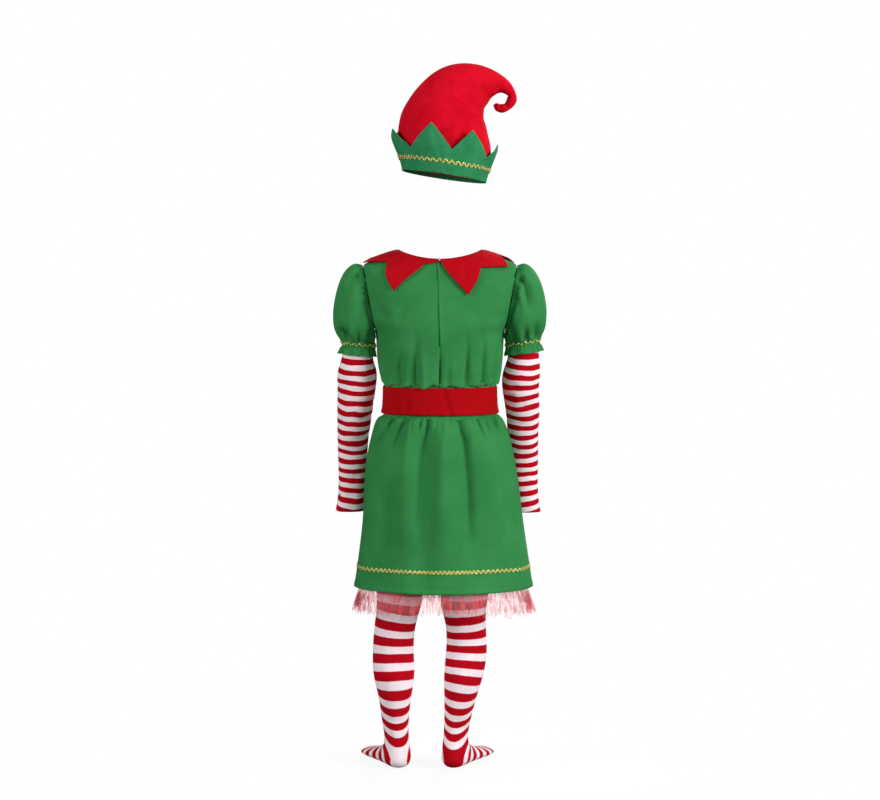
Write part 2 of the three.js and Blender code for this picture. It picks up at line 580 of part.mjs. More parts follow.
// A skirt-like surface: rings with folds and waves.
function foldedRing(table, square, inwardAt) {
  return (degrees, row) => {
    const read = (key) => smooth(table, (ring) => ring[key], row);
    const z = read("z");
    const hem = ease(z, -500, -600);
    return ringPoint(degrees, {
      half: read("half"),
      back: read("back"),
      front: read("front"),
      shift: read("shift"),
      square,
      z: z + SIDE_LIFT * hem * sin(radians(degrees)) ** 2,
      inward: inwardAt(degrees, z),
    });
  };
}

function skirtFolds(degrees, z) {
  const down = clamp((FOLD_SPAN.belt - z) / (FOLD_SPAN.belt - FOLD_SPAN.hem), 0, 1.1);
  const folds = SKIRT_FOLDS.reduce((sum, fold) => {
    const angle = fold.belt + (fold.hem - fold.belt) * down;
    const strength = ease(z, fold.from, fold.full) * (1 - ease(z, fold.fade, fold.gone));
    return sum + fold.depth * strength * bell(degrees - angle, fold.spread);
  }, 0);
  const { waves, depth, from, full, gone } = SKIRT_GATHERS;
  const gathered = ease(z, from, full) * (1 - ease(z, full, gone));
  return folds + depth * gathered * (1 + cos(radians(degrees * waves)));
}

const skirt = foldedRing(SKIRT, SKIRT_SQUARE, skirtFolds);
const belt = foldedRing(BELT, BELT_SQUARE, (degrees) => {
  return -BELT_LAP.lift * ease(degrees, BELT_LAP.rise, BELT_LAP.over);
});

// The petticoat keeps the skirt's folds above the hem and waves freely below it.
const petticoat = foldedRing(PETTICOAT, SKIRT_SQUARE, (degrees, z) => {
  const shown = ease(z, -606, -640);
  const wave = cos(radians(degrees * PETTICOAT_WAVES.count + 25 * sin(radians(degrees * 5))));
  const depth = PETTICOAT_WAVES.hidden + (PETTICOAT_WAVES.shown - PETTICOAT_WAVES.hidden) * shown;
  return skirtFolds(degrees, Math.max(z, -610)) * (1 - shown) + depth * (1 - wave);
});
function petticoatUneven(degrees, row) {
  const lift = PETTICOAT_EDGE.reduce((sum, edge) => {
    return sum + edge.swing * sin(radians(degrees * edge.waves + edge.phase));
  }, 0);
  const point = petticoat(degrees, row);
  point.z += lift * ease(row, 1, 3);
  return point;
}

// A leg of the tights: rings between a front and a back point, turned with the toes.
function leg(table) {
  return (degrees, row) => {
    const read = (pick) => smooth(table, pick, row);
    const turn = radians(read((ring) => ring.turn));
    const angle = radians(degrees);
    const reach = squareness(angle, 2.1);
    const forward = [read((ring) => ring.front[0]), read((ring) => ring.back[0])];
    const height = [read((ring) => ring.front[1]), read((ring) => ring.back[1])];
    const along = (reach * cos(angle)) / 2;
    const f = (forward[0] + forward[1]) / 2 - (forward[0] - forward[1]) * along;
    const across = read((ring) => ring.half) * reach * sin(angle);
    return new THREE.Vector3(
      read((ring) => ring.x) + f * sin(turn) + across * cos(turn),
      f * cos(turn) - across * sin(turn),
      (height[0] + height[1]) / 2 - (height[0] - height[1]) * along,
    );
  };
}

// Half of the brief: from a half ring at the waist down to the whole ring of one leg. The angle
// here is 0 at the centre back and 180 at the centre front.
function briefHalf(legSurface, side) {
  const last = BRIEF.length - 1;
  const body = foldedRing(BRIEF, BRIEF_SQUARE, () => 0);
  return (degrees, row) => {
    const onBody = body(side * degrees, Math.min(row, last));
    const onLeg = legSurface(side * (2 * degrees - 90), 0);
    onLeg.z += (row - last - 1) * -30;
    return onBody.lerp(onLeg, ease(row, last - 0.6, last + 1));
  };
}

// The hat band at an angle and a rise above its lower edge.
function hatBand(degrees, rise) {
  const rings = BAND.rings;
  const above = clamp(rings.findIndex((ring) => ring.rise > rise), 1, rings.length - 1);
  const below = rings[above - 1];
  const row = above - 1 + (rise - below.rise) / (rings[above].rise - below.rise);
  const half = smooth(rings, (ring) => ring.half, row);
  const depth = smooth(rings, (ring) => ring.depth, row);
  const angle = radians(degrees);
  const tilt = radians(BAND.tiltDegrees);
  const across = half * sin(angle);
  return new THREE.Vector3(
    BAND.centre[0] + across * cos(tilt),
    -depth * cos(angle),
    BAND.centre[1] + rise + across * sin(tilt) + BAND.rearLift * cos(angle),
  );
}

// The band's peaks in order, with the first one again a full turn on.
const PEAKS = [...BAND.peaks, { ...BAND.peaks[0], angle: BAND.peaks[0].angle + 360 }];

// The columns of the band: every peak and valley, with even steps between.
function bandColumns() {
  return BAND.peaks.flatMap((peak, i) => {
    const halfTurn = (PEAKS[i + 1].angle - peak.angle) / 2;
    const steps = range(BAND.stepsToPeak * 2, 0, halfTurn * 2).slice(0, -1);
    return steps.map((step) => peak.angle + step);
  });
}

// The rise of the band's zigzag edge at an angle.
function zigzagRise(degrees) {
  const turned = degrees < PEAKS[0].angle ? degrees + 360 : degrees;
  const i = clamp(PEAKS.findLastIndex((peak) => peak.angle <= turned), 0, PEAKS.length - 2);
  const share = (turned - PEAKS[i].angle) / (PEAKS[i + 1].angle - PEAKS[i].angle);
  const peak = PEAKS[share < 0.5 ? i : i + 1];
  const valley = PEAKS[i].nextValley;
  return valley + (peak.rise - valley) * abs(share * 2 - 1);
}
const bandSurface = (degrees, row) => hatBand(degrees, zigzagRise(degrees) * (1 - row));

// A closed ring of ric-rac: a three-sided braid that swings up and down the cloth.
function ricrac(surface, row, { waves, lift, swing: height = BRAID.swing, width = BRAID.width }) {
  const turns = range(waves * 2, 0, 360).slice(0, -1);
  const points = turns.flatMap((degrees, i) => {
    const swing = ((i % 2 ? -1 : 1) * height) / 2;
    return [
      onCloth(surface, degrees, row, swing - width / 2, lift),
      onCloth(surface, degrees, row, swing + width / 2, lift),
      onCloth(surface, degrees, row, swing, lift + BRAID.height),
    ];
  });
  const faces = [];
  turns.forEach((_, i) => {
    const [a, b] = [i * 3, ((i + 1) % turns.length) * 3];
    for (let k = 0; k < 3; k++) {
      const m = (k + 1) % 3;
      faces.push(a + k, b + m, a + m, a + k, b + k, b + m);
    }
  });
  const geometry = new THREE.BufferGeometry();
  geometry.setAttribute("position", new THREE.Float32BufferAttribute(points.flatMap((p) => p.toArray()), 3));
  geometry.setIndex(faces);
  return geometry;
}

const costume = new THREE.Group();
function add(name, geometry, color, roughness = 0.9, metalness = 0) {
  const material = new THREE.MeshStandardMaterial({ color, roughness, metalness });
  const mesh = new THREE.Mesh(geometry, material);
  mesh.name = name;
  costume.add(mesh);
}

function addBodice() {
  const rows = [0, 0.8, 1.6, 2.3, 3, 3.5, 4.1, 4.8, 5.4, 6, 7, 8, 8.7, 9.3, 10, WAIST_ROW];
  const panel = (side, front, columns) => (row) => {
    const edge = armholeAngle(row, front, side);
    const centre = front ? 0 : SLIT.degrees * ease(row, SLIT.rows, 0);
    const angles = range(columns, centre, edge).map((a) => side * (front ? 180 - a : a));
    return side * (front ? -1 : 1) < 0 ? angles.reverse() : angles;
  };
  add("bodice_back_right", wall(bodice, panel(1, false, 9), rows, DRESS_CLOTH), DRESS_GREEN);
  add("bodice_back_left", wall(bodice, panel(-1, false, 9), rows, DRESS_CLOTH), DRESS_GREEN);
  const frontAngles = (row) => {
    const right = panel(1, true, 8)(row);
    const left = panel(-1, true, 8)(row).map((a) => a + 360);
    return [...right, ...left.slice(1)];
  };
  add("bodice_front", wall(bodice, frontAngles, rows, DRESS_CLOTH), DRESS_GREEN);
}

// Half of the collar: a jagged piece that starts close on the neckline and stands off at its edge.
function collarHalf(outline) {
  const angles = outline.slice(1).flatMap((point, i) => {
    const steps = range(COLLAR_STEPS, outline[i].angle, point.angle);
    return i ? steps.slice(1) : steps;
  });
  const reachAt = (degrees) => {
    const next = Math.max(outline.findIndex((point) => abs(point.angle) >= abs(degrees) - 1e-6), 1);
    const [a, b] = [outline[next - 1], outline[next]];
    return a.reach + ((b.reach - a.reach) * (degrees - a.angle)) / (b.angle - a.angle);
  };
  angles.sort((a, b) => a - b);
  const lifted = (share, thickness) =>
    angles.map((degrees) => {
      const row = share * reachAt(degrees) + COLLAR_NECK_ROW;
      const lift = COLLAR_LIFT.neck + (COLLAR_LIFT.edge - COLLAR_LIFT.neck) * share ** 0.3;
      return bodice(degrees, row).addScaledVector(outward(bodice, degrees, row), lift + thickness);
    });
  const shares = range(COLLAR_ROWS, 0, 1);
  const outer = shares.map((share) => lifted(share, COLLAR_CLOTH));
  const inner = shares.map((share) => lifted(share, 0));
  return wallMesh(outer, inner, false, false);
}

function addSkirt() {
  const rows = [0, 1, 1.6, 2.2, 3, 4, 5, 6, 7.5, HEM_ROW];
  add("skirt_back", wall(skirt, () => range(SKIRT_COLUMNS, -90, 90), rows, DRESS_CLOTH), DRESS_GREEN);
  add("skirt_front", wall(skirt, () => range(SKIRT_COLUMNS, 90, 270), rows, DRESS_CLOTH), DRESS_GREEN);
  add("hem_braid", ricrac(skirt, HEM_BRAID.row, { ...HEM_BRAID, lift: BRAID.clothLift }), GOLD, 0.4, 0.5);
  const lap = () => range(30, BELT_LAP.start, BELT_LAP.end);
  add("belt", wall(belt, lap, rowNumbers(BELT), BELT_CLOTH), COLLAR_RED);
  const pleats = () => range(PETTICOAT_COLUMNS, 0, 360).slice(0, -1);
  add("petticoat", wall(petticoatUneven, pleats, rowNumbers(PETTICOAT), NET, { round: true }), NET_RED);
}

function addSleeves() {
  const turn = () => range(PUFF_COLUMNS, -180, 180).slice(0, -1);
  for (const [name, side, puffTable, armTable] of [
    ["right", 1, PUFF_RIGHT, UNDERSLEEVE_RIGHT],
    ["left", -1, PUFF_LEFT, UNDERSLEEVE_LEFT],
  ]) {
    const puff = puffSleeve(puffTable, side);
    add(`puff_sleeve_${name}`, wall(puff, turn, PUFF_ROWS, DRESS_CLOTH, { round: true }), DRESS_GREEN);
    const braid = ricrac(cuffLine(puffTable), 0, CUFF_BRAID);
    add(`cuff_braid_${name}`, braid, GOLD, 0.4, 0.5);
    const arm = outlineTube(armTable, () => 2.1);
    const armTurn = () => range(12, -180, 180).slice(0, -1);
    const knit = wall(arm, armTurn, rowNumbers(armTable), KNIT, { round: true });
    add(`undersleeve_${name}`, knit, KNIT_RED);
  }
}

function addTights() {
  const turn = () => range(12, -180, 180).slice(0, -1);
  for (const [name, side, table] of [["right", 1, LEG_RIGHT], ["left", -1, LEG_LEFT]]) {
    const surface = leg(table);
    const tube = wall(surface, turn, LEG_ROWS, KNIT, { round: true, capped: true });
    add(`tights_leg_${name}`, tube, KNIT_RED);
    const half = briefHalf(surface, side);
    const rows = [0, 1, 2, 3, 4, 5, BRIEF.length];
    const signed = (degrees, row) => half(side * degrees, row);
    const angles = () => (side > 0 ? range(10, 0, 180) : range(10, -180, 0));
    add(`tights_brief_${name}`, wall(signed, angles, rows, KNIT), KNIT_RED);
  }
}

// The felt thins towards the very tip of the horn.
const tipFelt = (row) => Math.min(FELT, 0.35 + row * 1.65);

function addHat() {
  const crown = outlineTube(CROWN, (row) => 1.8 + 0.25 * ease(row, 8, 16));
  add("hat_crown_back", wall(crown, () => range(8, -90, 90), CROWN_ROWS, tipFelt), HAT_RED);
  add("hat_crown_front", wall(crown, () => range(8, 90, 270), CROWN_ROWS, tipFelt), HAT_RED);
  add("hat_band", wall(bandSurface, bandColumns, [0, 0.35, 0.7, 1], FELT, { round: true }), HAT_GREEN);
  const lowerBand = (degrees, row) => hatBand(degrees, HAT_BRAID.rise * (2 - row));
  add("hat_braid", ricrac(lowerBand, 1, { ...HAT_BRAID, lift: BRAID.feltLift }), GOLD, 0.4, 0.5);
}

addHat();
addBodice();
add("collar_right", collarHalf(COLLAR_RIGHT), COLLAR_RED);
add("collar_left", collarHalf(COLLAR_LEFT), COLLAR_RED);
addSleeves();
addSkirt();
addTights();

export default costume;
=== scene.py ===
# %% [markdown]
# A child's elf costume, worn but with nobody in it: a pointed felt hat, a belted dress with puff
# sleeves and a jagged collar, a net petticoat, striped undersleeves and striped tights. The solids of
# every garment already stand in place. Each step below takes the outside of one solid and gives it what
# real cloth has: smooth curves, creases, seams, stitches and a napped, felted, knitted or netted surface.

# %% Load the frame
import math
from collections import namedtuple

import bmesh
import bpy
import numpy as np
from mathutils import Matrix, Vector
from mathutils.bvhtree import BVHTree
from mathutils.kdtree import KDTree


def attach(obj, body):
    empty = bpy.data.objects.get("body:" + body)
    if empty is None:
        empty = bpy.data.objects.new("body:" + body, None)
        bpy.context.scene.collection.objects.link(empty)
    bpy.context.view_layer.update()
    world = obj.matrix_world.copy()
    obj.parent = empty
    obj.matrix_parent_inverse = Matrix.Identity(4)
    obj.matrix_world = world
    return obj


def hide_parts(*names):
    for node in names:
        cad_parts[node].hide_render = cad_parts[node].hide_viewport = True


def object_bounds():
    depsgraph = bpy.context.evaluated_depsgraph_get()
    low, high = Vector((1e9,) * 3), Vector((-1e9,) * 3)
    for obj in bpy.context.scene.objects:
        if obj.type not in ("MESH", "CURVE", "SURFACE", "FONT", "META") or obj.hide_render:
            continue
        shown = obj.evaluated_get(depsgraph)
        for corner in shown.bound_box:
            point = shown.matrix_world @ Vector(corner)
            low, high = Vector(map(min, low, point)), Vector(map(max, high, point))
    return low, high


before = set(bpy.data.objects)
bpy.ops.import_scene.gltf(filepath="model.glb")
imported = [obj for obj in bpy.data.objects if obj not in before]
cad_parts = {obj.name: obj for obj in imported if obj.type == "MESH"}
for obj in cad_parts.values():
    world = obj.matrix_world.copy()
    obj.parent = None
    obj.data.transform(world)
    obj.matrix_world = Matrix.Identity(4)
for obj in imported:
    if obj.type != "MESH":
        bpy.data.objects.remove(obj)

MM = 0.001
cad_low, cad_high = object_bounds()
print("solids reach from", [round(x, 3) for x in cad_low], "to", [round(x, 3) for x in cad_high])

# %% [markdown]
# The camera comes first, because everything is judged through it. The picture was taken from behind,
# from a little above the shoulders and a few metres away, with a long lens. The pitch and the focal
# length were worked out by laying the outlines of the solids over the picture.

# %% Camera
CAMERA_PLACE = (0.0, -5.4, 0.10)
CAMERA_PITCH = 86.2
CAMERA_LENS = 118.15

camera = bpy.data.objects.new("camera", bpy.data.cameras.new("camera"))
bpy.context.scene.collection.objects.link(camera)
camera.location = CAMERA_PLACE
camera.rotation_euler = (math.radians(CAMERA_PITCH), 0, 0)
camera.data.lens = CAMERA_LENS
bpy.context.scene.camera = camera
print("camera lens", camera.data.lens, "mm")

# %% [markdown]
# A studio for clothes has a pale floor that runs into a white wall, and large, soft lights. The floor
# is a disc that fades away towards its rim, so that no edge of it shows against the wall.

# %% Floor
FLOOR_RADIUS = 2
FLOOR_SEGMENTS = 96
FLOOR_FADE = (0.4, 1.1)
FLOOR_GAP = 0.0015
FLOOR_GREY = (0.93, 0.93, 0.93, 1)
FLOOR_ROUGHNESS = 0.9


def floor_material():
    """A plain material that turns see-through between the two distances of the fade."""
    material = bpy.data.materials.new("pale_floor")
    material.use_nodes = True
    tree = material.node_tree
    shader = tree.nodes["Principled BSDF"]
    shader.inputs["Base Color"].default_value = FLOOR_GREY
    shader.inputs["Roughness"].default_value = FLOOR_ROUGHNESS
    place = tree.nodes.new("ShaderNodeTexCoord")
    away = tree.nodes.new("ShaderNodeVectorMath")
    away.operation = "LENGTH"
    fade = tree.nodes.new("ShaderNodeMapRange")
    fade.interpolation_type = "SMOOTHSTEP"
    ends = {"From Min": FLOOR_FADE[0], "From Max": FLOOR_FADE[1], "To Min": 1, "To Max": 0}
    for socket, value in ends.items():
        fade.inputs[socket].default_value = value
    tree.links.new(place.outputs["Object"], away.inputs[0])
    tree.links.new(away.outputs["Value"], fade.inputs["Value"])
    tree.links.new(fade.outputs[0], shader.inputs["Alpha"])
    return material


def add_floor():
    bm = bmesh.new()
    bmesh.ops.create_circle(bm, cap_ends=True, segments=FLOOR_SEGMENTS, radius=FLOOR_RADIUS)
    bmesh.ops.translate(bm, verts=bm.verts, vec=(0, 0, cad_low.z - FLOOR_GAP))
    mesh = bpy.data.meshes.new("floor")
    bm.to_mesh(mesh)
    bm.free()
    mesh.materials.append(floor_material())
    floor = bpy.data.objects.new("floor", mesh)
    bpy.context.scene.collection.objects.link(floor)


add_floor()
print("floor fades out", FLOOR_FADE[1], "m from the middle")

# %% [markdown]
# The wall is the world's white. The camera sees it at full strength, but it lights the cloth far more
# weakly than that, so that the folds keep their shadows.

# %% World
WORLD_SEEN = 1.0
WORLD_LIGHT = 0.14


def add_world():
    world = bpy.data.worlds.new("studio")
    bpy.context.scene.world = world
    world.use_nodes = True
    tree = world.node_tree
    background = tree.nodes["Background"]
    background.inputs["Color"].default_value = (1, 1, 1, 1)
    ray = tree.nodes.new("ShaderNodeLightPath")
    strength = tree.nodes.new("ShaderNodeMapRange")
    strength.inputs["To Min"].default_value = WORLD_LIGHT
    strength.inputs["To Max"].default_value = WORLD_SEEN
    tree.links.new(ray.outputs["Is Camera Ray"], strength.inputs["Value"])
    tree.links.new(strength.outputs[0], background.inputs["Strength"])


add_world()
print("white wall, lighting the cloth at", WORLD_LIGHT)

# %% [markdown]
# The main light stands at the right of the camera and a weaker one at the left, so that each fold has
# a bright side and a dark one. Small lights below and above soften the shadows, and one behind the
# costume lights its front, for views from there.

# %% Lights
LIGHTS = [
    # name, place, aim, size in metres, power in watts
    ("right", (4.0, -2.6, 1.2), (0, 0, -0.3), 2.2, 265),
    ("left", (-4.1, -2.4, 1.0), (0, 0, -0.3), 1.6, 135),
    ("low", (0.4, -4.8, 0.3), (0, 0, -0.3), 1.8, 46),
    ("top", (0.3, 0.4, 3.2), (0, 0, 0), 1.4, 34),
    ("behind", (1.6, 3.7, 1.6), (0, 0, -0.3), 2.4, 110),
]

for name, place, aim, size, power in LIGHTS:
    light = bpy.data.lights.new(name, "AREA")
    light.size = size
    light.energy = power
    lamp = bpy.data.objects.new(name, light)
    lamp.location = place
    lamp.rotation_euler = (Vector(aim) - Vector(place)).to_track_quat("-Z", "Y").to_euler()
    bpy.context.scene.collection.objects.link(lamp)
bpy.context.scene.view_settings.view_transform = "Standard"
print("studio with", len(LIGHTS), "soft lights")

# %% [markdown]
# A solid of the frame is a closed wall of triangles. Only its outside is wanted here, as one open sheet
# of four-sided faces, because a smooth surface comes from four-sided faces. The rim of the wall is
# found by its edges, which are exactly as long as the cloth is thick. The slanting edges that cut each
# four-sided face in two are found by walking over the sheet: every triangle has its three kinds of edge
# in the same order, and the slanting kind is the longest in total.

# %% Take the outside of a solid
WELD = 1e-5
SAME_LENGTH = 8e-6
POLE_EDGES = 10


def spread_from(face):
    """Every face that can be reached from one face across edges."""
    reached = {face}
    todo = [face]
    while todo:
        for edge in todo.pop().edges:
            for other in edge.link_faces:
                if other not in reached:
                    reached.add(other)
                    todo.append(other)
    return reached


def slanting_edges(bm):
    """The edges that cut the sheet's four-sided faces in two."""
    plain = [f for f in bm.faces if max(len(v.link_edges) for v in f.verts) < POLE_EDGES]
    kinds = {plain[0].loops[0].edge: 0}
    seen = {plain[0]}
    todo = [plain[0].loops[0]]
    allowed = set(plain)
    while todo:
        loop = todo.pop()
        kind = kinds[loop.edge]
        for turn in range(3):
            kinds[loop.edge] = (kind + turn) % 3
            other = loop.link_loop_radial_next
            if other.face in allowed and other.face not in seen:
                seen.add(other.face)
                todo.append(other)
            loop = loop.link_loop_next
    totals = [0, 0, 0]
    for edge, kind in kinds.items():
        totals[kind] += edge.calc_length()
    slant = totals.index(max(totals))
    return [e for e in bm.edges if kinds.get(e) == slant and len(e.link_faces) == 2]


def outer_sheet(node, walls):
    """The outside of a solid's wall. Walls are the thicknesses in millimetres that its rim can have."""
    bm = bmesh.new()
    bm.from_mesh(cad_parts[node].data)
    bmesh.ops.remove_doubles(bm, verts=bm.verts, dist=WELD)
    short = [e for e in bm.edges if any(abs(e.calc_length() - w * MM) < SAME_LENGTH for w in walls)]
    rim = {f for e in short for f in e.link_faces}
    bmesh.ops.delete(bm, geom=[f for f in bm.faces if f in rim], context="FACES_ONLY")
    one = spread_from(next(iter(bm.faces)))
    area = sum(f.calc_area() * (1 if f in one else -1) for f in bm.faces)
    inside = [f for f in bm.faces if (f in one) == (area < 0)]
    bmesh.ops.delete(bm, geom=inside, context="FACES")
    bmesh.ops.delete(bm, geom=[v for v in bm.verts if not v.link_faces], context="VERTS")
    bmesh.ops.dissolve_edges(bm, edges=slanting_edges(bm), use_verts=False)
    bm.normal_update()
    return bm


print("outer sheet of the belt:", len(outer_sheet("belt", [2]).faces), "faces")

# %% [markdown]
# Subdivision rounds a coarse sheet, but it also draws it in, most of all on a narrow tube with few
# faces. The points are therefore moved out first, a little at a time, until the smooth surface passes
# through the solid's own points. Tips and notches are pinned, so that they stay sharp.

# %% Smooth a sheet through its own points
CORNER_DEGREES = 40
FITTING_ROUNDS = 6
SMOOTH_LEVELS = 3


def pin_corners(bm):
    """Pins the points where the sheet's edge turns sharply."""
    pin = bm.verts.layers.float.new("crease_vert")
    for v in bm.verts:
        edges = [e for e in v.link_edges if e.is_boundary]
        if len(edges) == 2:
            a, b = (e.other_vert(v).co - v.co for e in edges)
            v[pin] = float(math.pi - a.angle(b) > math.radians(CORNER_DEGREES))
    return pin


def smooth_place(v, pin):
    """Where a point of the sheet ends up once the sheet is subdivided without end."""
    if v[pin] > 0:
        return v.co
    if v.is_boundary:
        ends = [e.other_vert(v).co for e in v.link_edges if e.is_boundary]
        return (v.co * 4 + ends[0] + ends[1]) / 6
    count = len(v.link_edges)
    beside = sum((e.other_vert(v).co for e in v.link_edges), Vector())
    near = {w for e in v.link_edges for w in e.verts}
    across = sum((w.co for f in v.link_faces for w in f.verts if w not in near), Vector())
    for f in v.link_faces:
        if len(f.verts) == 3:
            across += sum((w.co for w in f.verts if w is not v), Vector()) / 2
    return (v.co * count**2 + beside * 4 + across) / (count * (count + 5))


def fit_points(bm):
    """Moves the points until the smooth surface passes through their first places."""
    pin = pin_corners(bm)
    wanted = [v.co.copy() for v in bm.verts]
    for _ in range(FITTING_ROUNDS):
        steps = [place - smooth_place(v, pin) for v, place in zip(bm.verts, wanted)]
        for v, step in zip(bm.verts, steps):
            v.co += step


def subdivided(bm, name):
    """The sheet as an object with a fine, smooth mesh."""
    coarse = bpy.data.meshes.new(name)
    bm.to_mesh(coarse)
    bm.free()
    ob = bpy.data.objects.new(name, coarse)
    bpy.context.scene.collection.objects.link(ob)
    smooth = ob.modifiers.new("smooth", "SUBSURF")
    smooth.levels = smooth.render_levels = SMOOTH_LEVELS
    smooth.boundary_smooth = "PRESERVE_CORNERS"
    graph = bpy.context.evaluated_depsgraph_get()
    fine = bpy.data.meshes.new_from_object(ob.evaluated_get(graph), depsgraph=graph)
    ob.modifiers.clear()
    ob.data = fine
    bpy.data.meshes.remove(coarse)
    fine.name = name
    return ob


def smooth_sheet(node, walls, kind="cloth"):
    """The outside of a solid as a fine, smooth sheet, named after the solid and the kind of cloth."""
    bm = outer_sheet(node, walls)
    fit_points(bm)
    return subdivided(bm, node + "_" + kind)


print("each sheet is fitted in", FITTING_ROUNDS, "rounds and subdivided", SMOOTH_LEVELS, "times")

# %% [markdown]
# The finer shapes are pressed into the smooth sheet: every point moves along its own normal by a number
# of millimetres. Reading and writing all points at once as rows of numbers keeps this quick.

# %% Move the points of a sheet
def rows_of(values, field, width=3):
    """One field of a mesh's points, as rows of numbers."""
    rows = np.empty(len(values) * width, np.float32)
    values.foreach_get(field, rows)
    return rows.reshape(-1, width).astype(float)


def places_of(ob):
    return rows_of(ob.data.vertices, "co")


def normals_of(ob):
    return rows_of(ob.data.vertex_normals, "vector")


def place_points(ob, places):
    ob.data.vertices.foreach_set("co", places.astype(np.float32).ravel())
    ob.data.update()


def sink(ob, millimetres):
    """Moves each point of a sheet inwards by its own number of millimetres."""
    place_points(ob, places_of(ob) - normals_of(ob) * millimetres[:, None] * MM)


print("the belt's solid has", len(places_of(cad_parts["belt"])), "points")

# %% [markdown]
# Folded cloth has few kinds of profile: a soft step, a rounded hill, and gathers, which are waves that
# never repeat. The gathers drift and change their height as they go round, so none is like its
# neighbour.

# %% Profiles of folded cloth
def ramp(value, start, end):
    """0 before start, 1 after end and a soft step in between."""
    share = np.clip((value - start) / (end - start), 0, 1)
    return share * share * (3 - 2 * share)


def hill(value, middle, reach):
    """1 at the middle, dying out on both sides of it."""
    return np.exp(-(((value - middle) / reach) ** 2))


def uneven(angle, waves, seed):
    """Waves round a gathered edge, from -1 to 1."""
    drift = 1.4 * np.sin(3 * angle + seed) + 0.8 * np.sin(7 * angle + 2.3 * seed)
    return np.sin(waves * angle + drift) * (0.65 + 0.35 * np.sin(5 * angle + 1.7 * seed))


print("a hill one reach from its middle is", round(float(hill(1, 0, 1)), 2), "high")

# %% [markdown]
# Creases are drawn on a flat chart of the cloth. Pieces that go round the body have a chart in degrees
# from the centre back, where a degree counts as the millimetres that it spans on a body of one mean
# radius. Sleeves, legs and the hat's crown are drawn on the plain view from behind.

# %% Charts of the cloth
BODY_RADIUS = 120
BODY_MIDDLE_X = 3
DEGREE = math.radians(1) * BODY_RADIUS


def degrees_round(places):
    """How far round the body places lie, from the centre back towards the right."""
    return np.degrees(np.arctan2(places[:, 0] - BODY_MIDDLE_X, -places[:, 1]))


def round_body(places):
    """Chart of the bodice and the skirt: degrees from the centre back, and height."""
    return np.column_stack([degrees_round(places) * DEGREE, places[:, 2]])


def round_front(places):
    """The same chart with its ends at the centre back, for the front pieces."""
    return np.column_stack([degrees_round(places) % 360 * DEGREE, places[:, 2]])


def flat_view(places):
    """Chart of a piece as it is seen from behind: to the right, and up."""
    return places[:, [0, 2]]


print("one degree of the chart is", round(DEGREE, 2), "mm")

# %% [markdown]
# A crease is a short line on the chart with a width, a depth and the shares of its length over which it
# fades at its start and its end. A depth above nought sinks the cloth and one below nought raises a
# ridge. Many folds start on one level, where the cloth is gathered, so they have a shorter way in.

# %% Press creases into cloth
Crease = namedtuple("Crease", "points width depth fade")
GATHERED_FADE = 0.02


def folds_from(height, rows):
    """Folds from one level. A row holds degrees there, the further points, width, depth and end fade."""
    return [
        Crease([(start, height), *points], width, depth, (GATHERED_FADE, fade))
        for start, points, width, depth, fade in rows
    ]


def nearest_on(line, places):
    """How far places lie from a line of points, and how far along it, 0 to 1, they meet it."""
    lengths = np.linalg.norm(np.diff(line, axis=0), axis=1)
    starts = np.concatenate([[0], np.cumsum(lengths)])
    away = np.full(len(places), np.inf)
    along = np.zeros(len(places))
    for a, b, start, length in zip(line, line[1:], starts, lengths):
        share = np.clip((places - a) @ (b - a) / length**2, 0, 1)
        gap = np.linalg.norm(places - a - share[:, None] * (b - a), axis=1)
        closer = gap < away
        away = np.where(closer, gap, away)
        along = np.where(closer, (start + share * length) / starts[-1], along)
    return away, along


def press(ob, chart, creases, share=1.0):
    """Presses creases into a sheet. The share says how much of them each point takes."""
    places = chart(places_of(ob) / MM)
    scale = (1, 1) if chart is flat_view else (DEGREE, 1)
    depth = np.zeros(len(places))
    for crease in creases:
        away, along = nearest_on(np.array(crease.points, float) * scale, places)
        fade = ramp(along, 0, crease.fade[0]) * ramp(1 - along, 0, crease.fade[1])
        depth += crease.depth * fade * hill(away, 0, crease.width)
    sink(ob, depth * share)


print("a crease has", ", ".join(Crease._fields))

# %% [markdown]
# Along a seam the stitches pull the cloth in. A seam lies where a sheet has its edge, so the distance
# from the nearest edge says how deep the cloth sinks there.

# %% Draw in seams
SEAM_DEPTH = 0.9
SEAM_WIDTH = 2.6


def edge_distance(ob, keep=lambda co: True):
    """How far in millimetres each point lies from the sheet's edges, those that keep says."""
    bm = bmesh.new()
    bm.from_mesh(ob.data)
    ends = [v.co.copy() for v in bm.verts if v.is_boundary and keep(v.co / MM)]
    bm.free()
    tree = KDTree(len(ends))
    for i, co in enumerate(ends):
        tree.insert(co, i)
    tree.balance()
    return np.array([tree.find(v.co)[2] / MM for v in ob.data.vertices])


def draw_in_seams(ob, keep, depth=SEAM_DEPTH, width=SEAM_WIDTH):
    sink(ob, depth * hill(edge_distance(ob, keep), 0, width))


print("seams draw the cloth in by", SEAM_DEPTH, "mm")

# %% [markdown]
# Every surface is built from nodes. To keep the sums readable, a small class wraps the output of a node
# so that sums on it add Math nodes. Colours are written as they look on a screen and turned into the
# shader's own numbers.

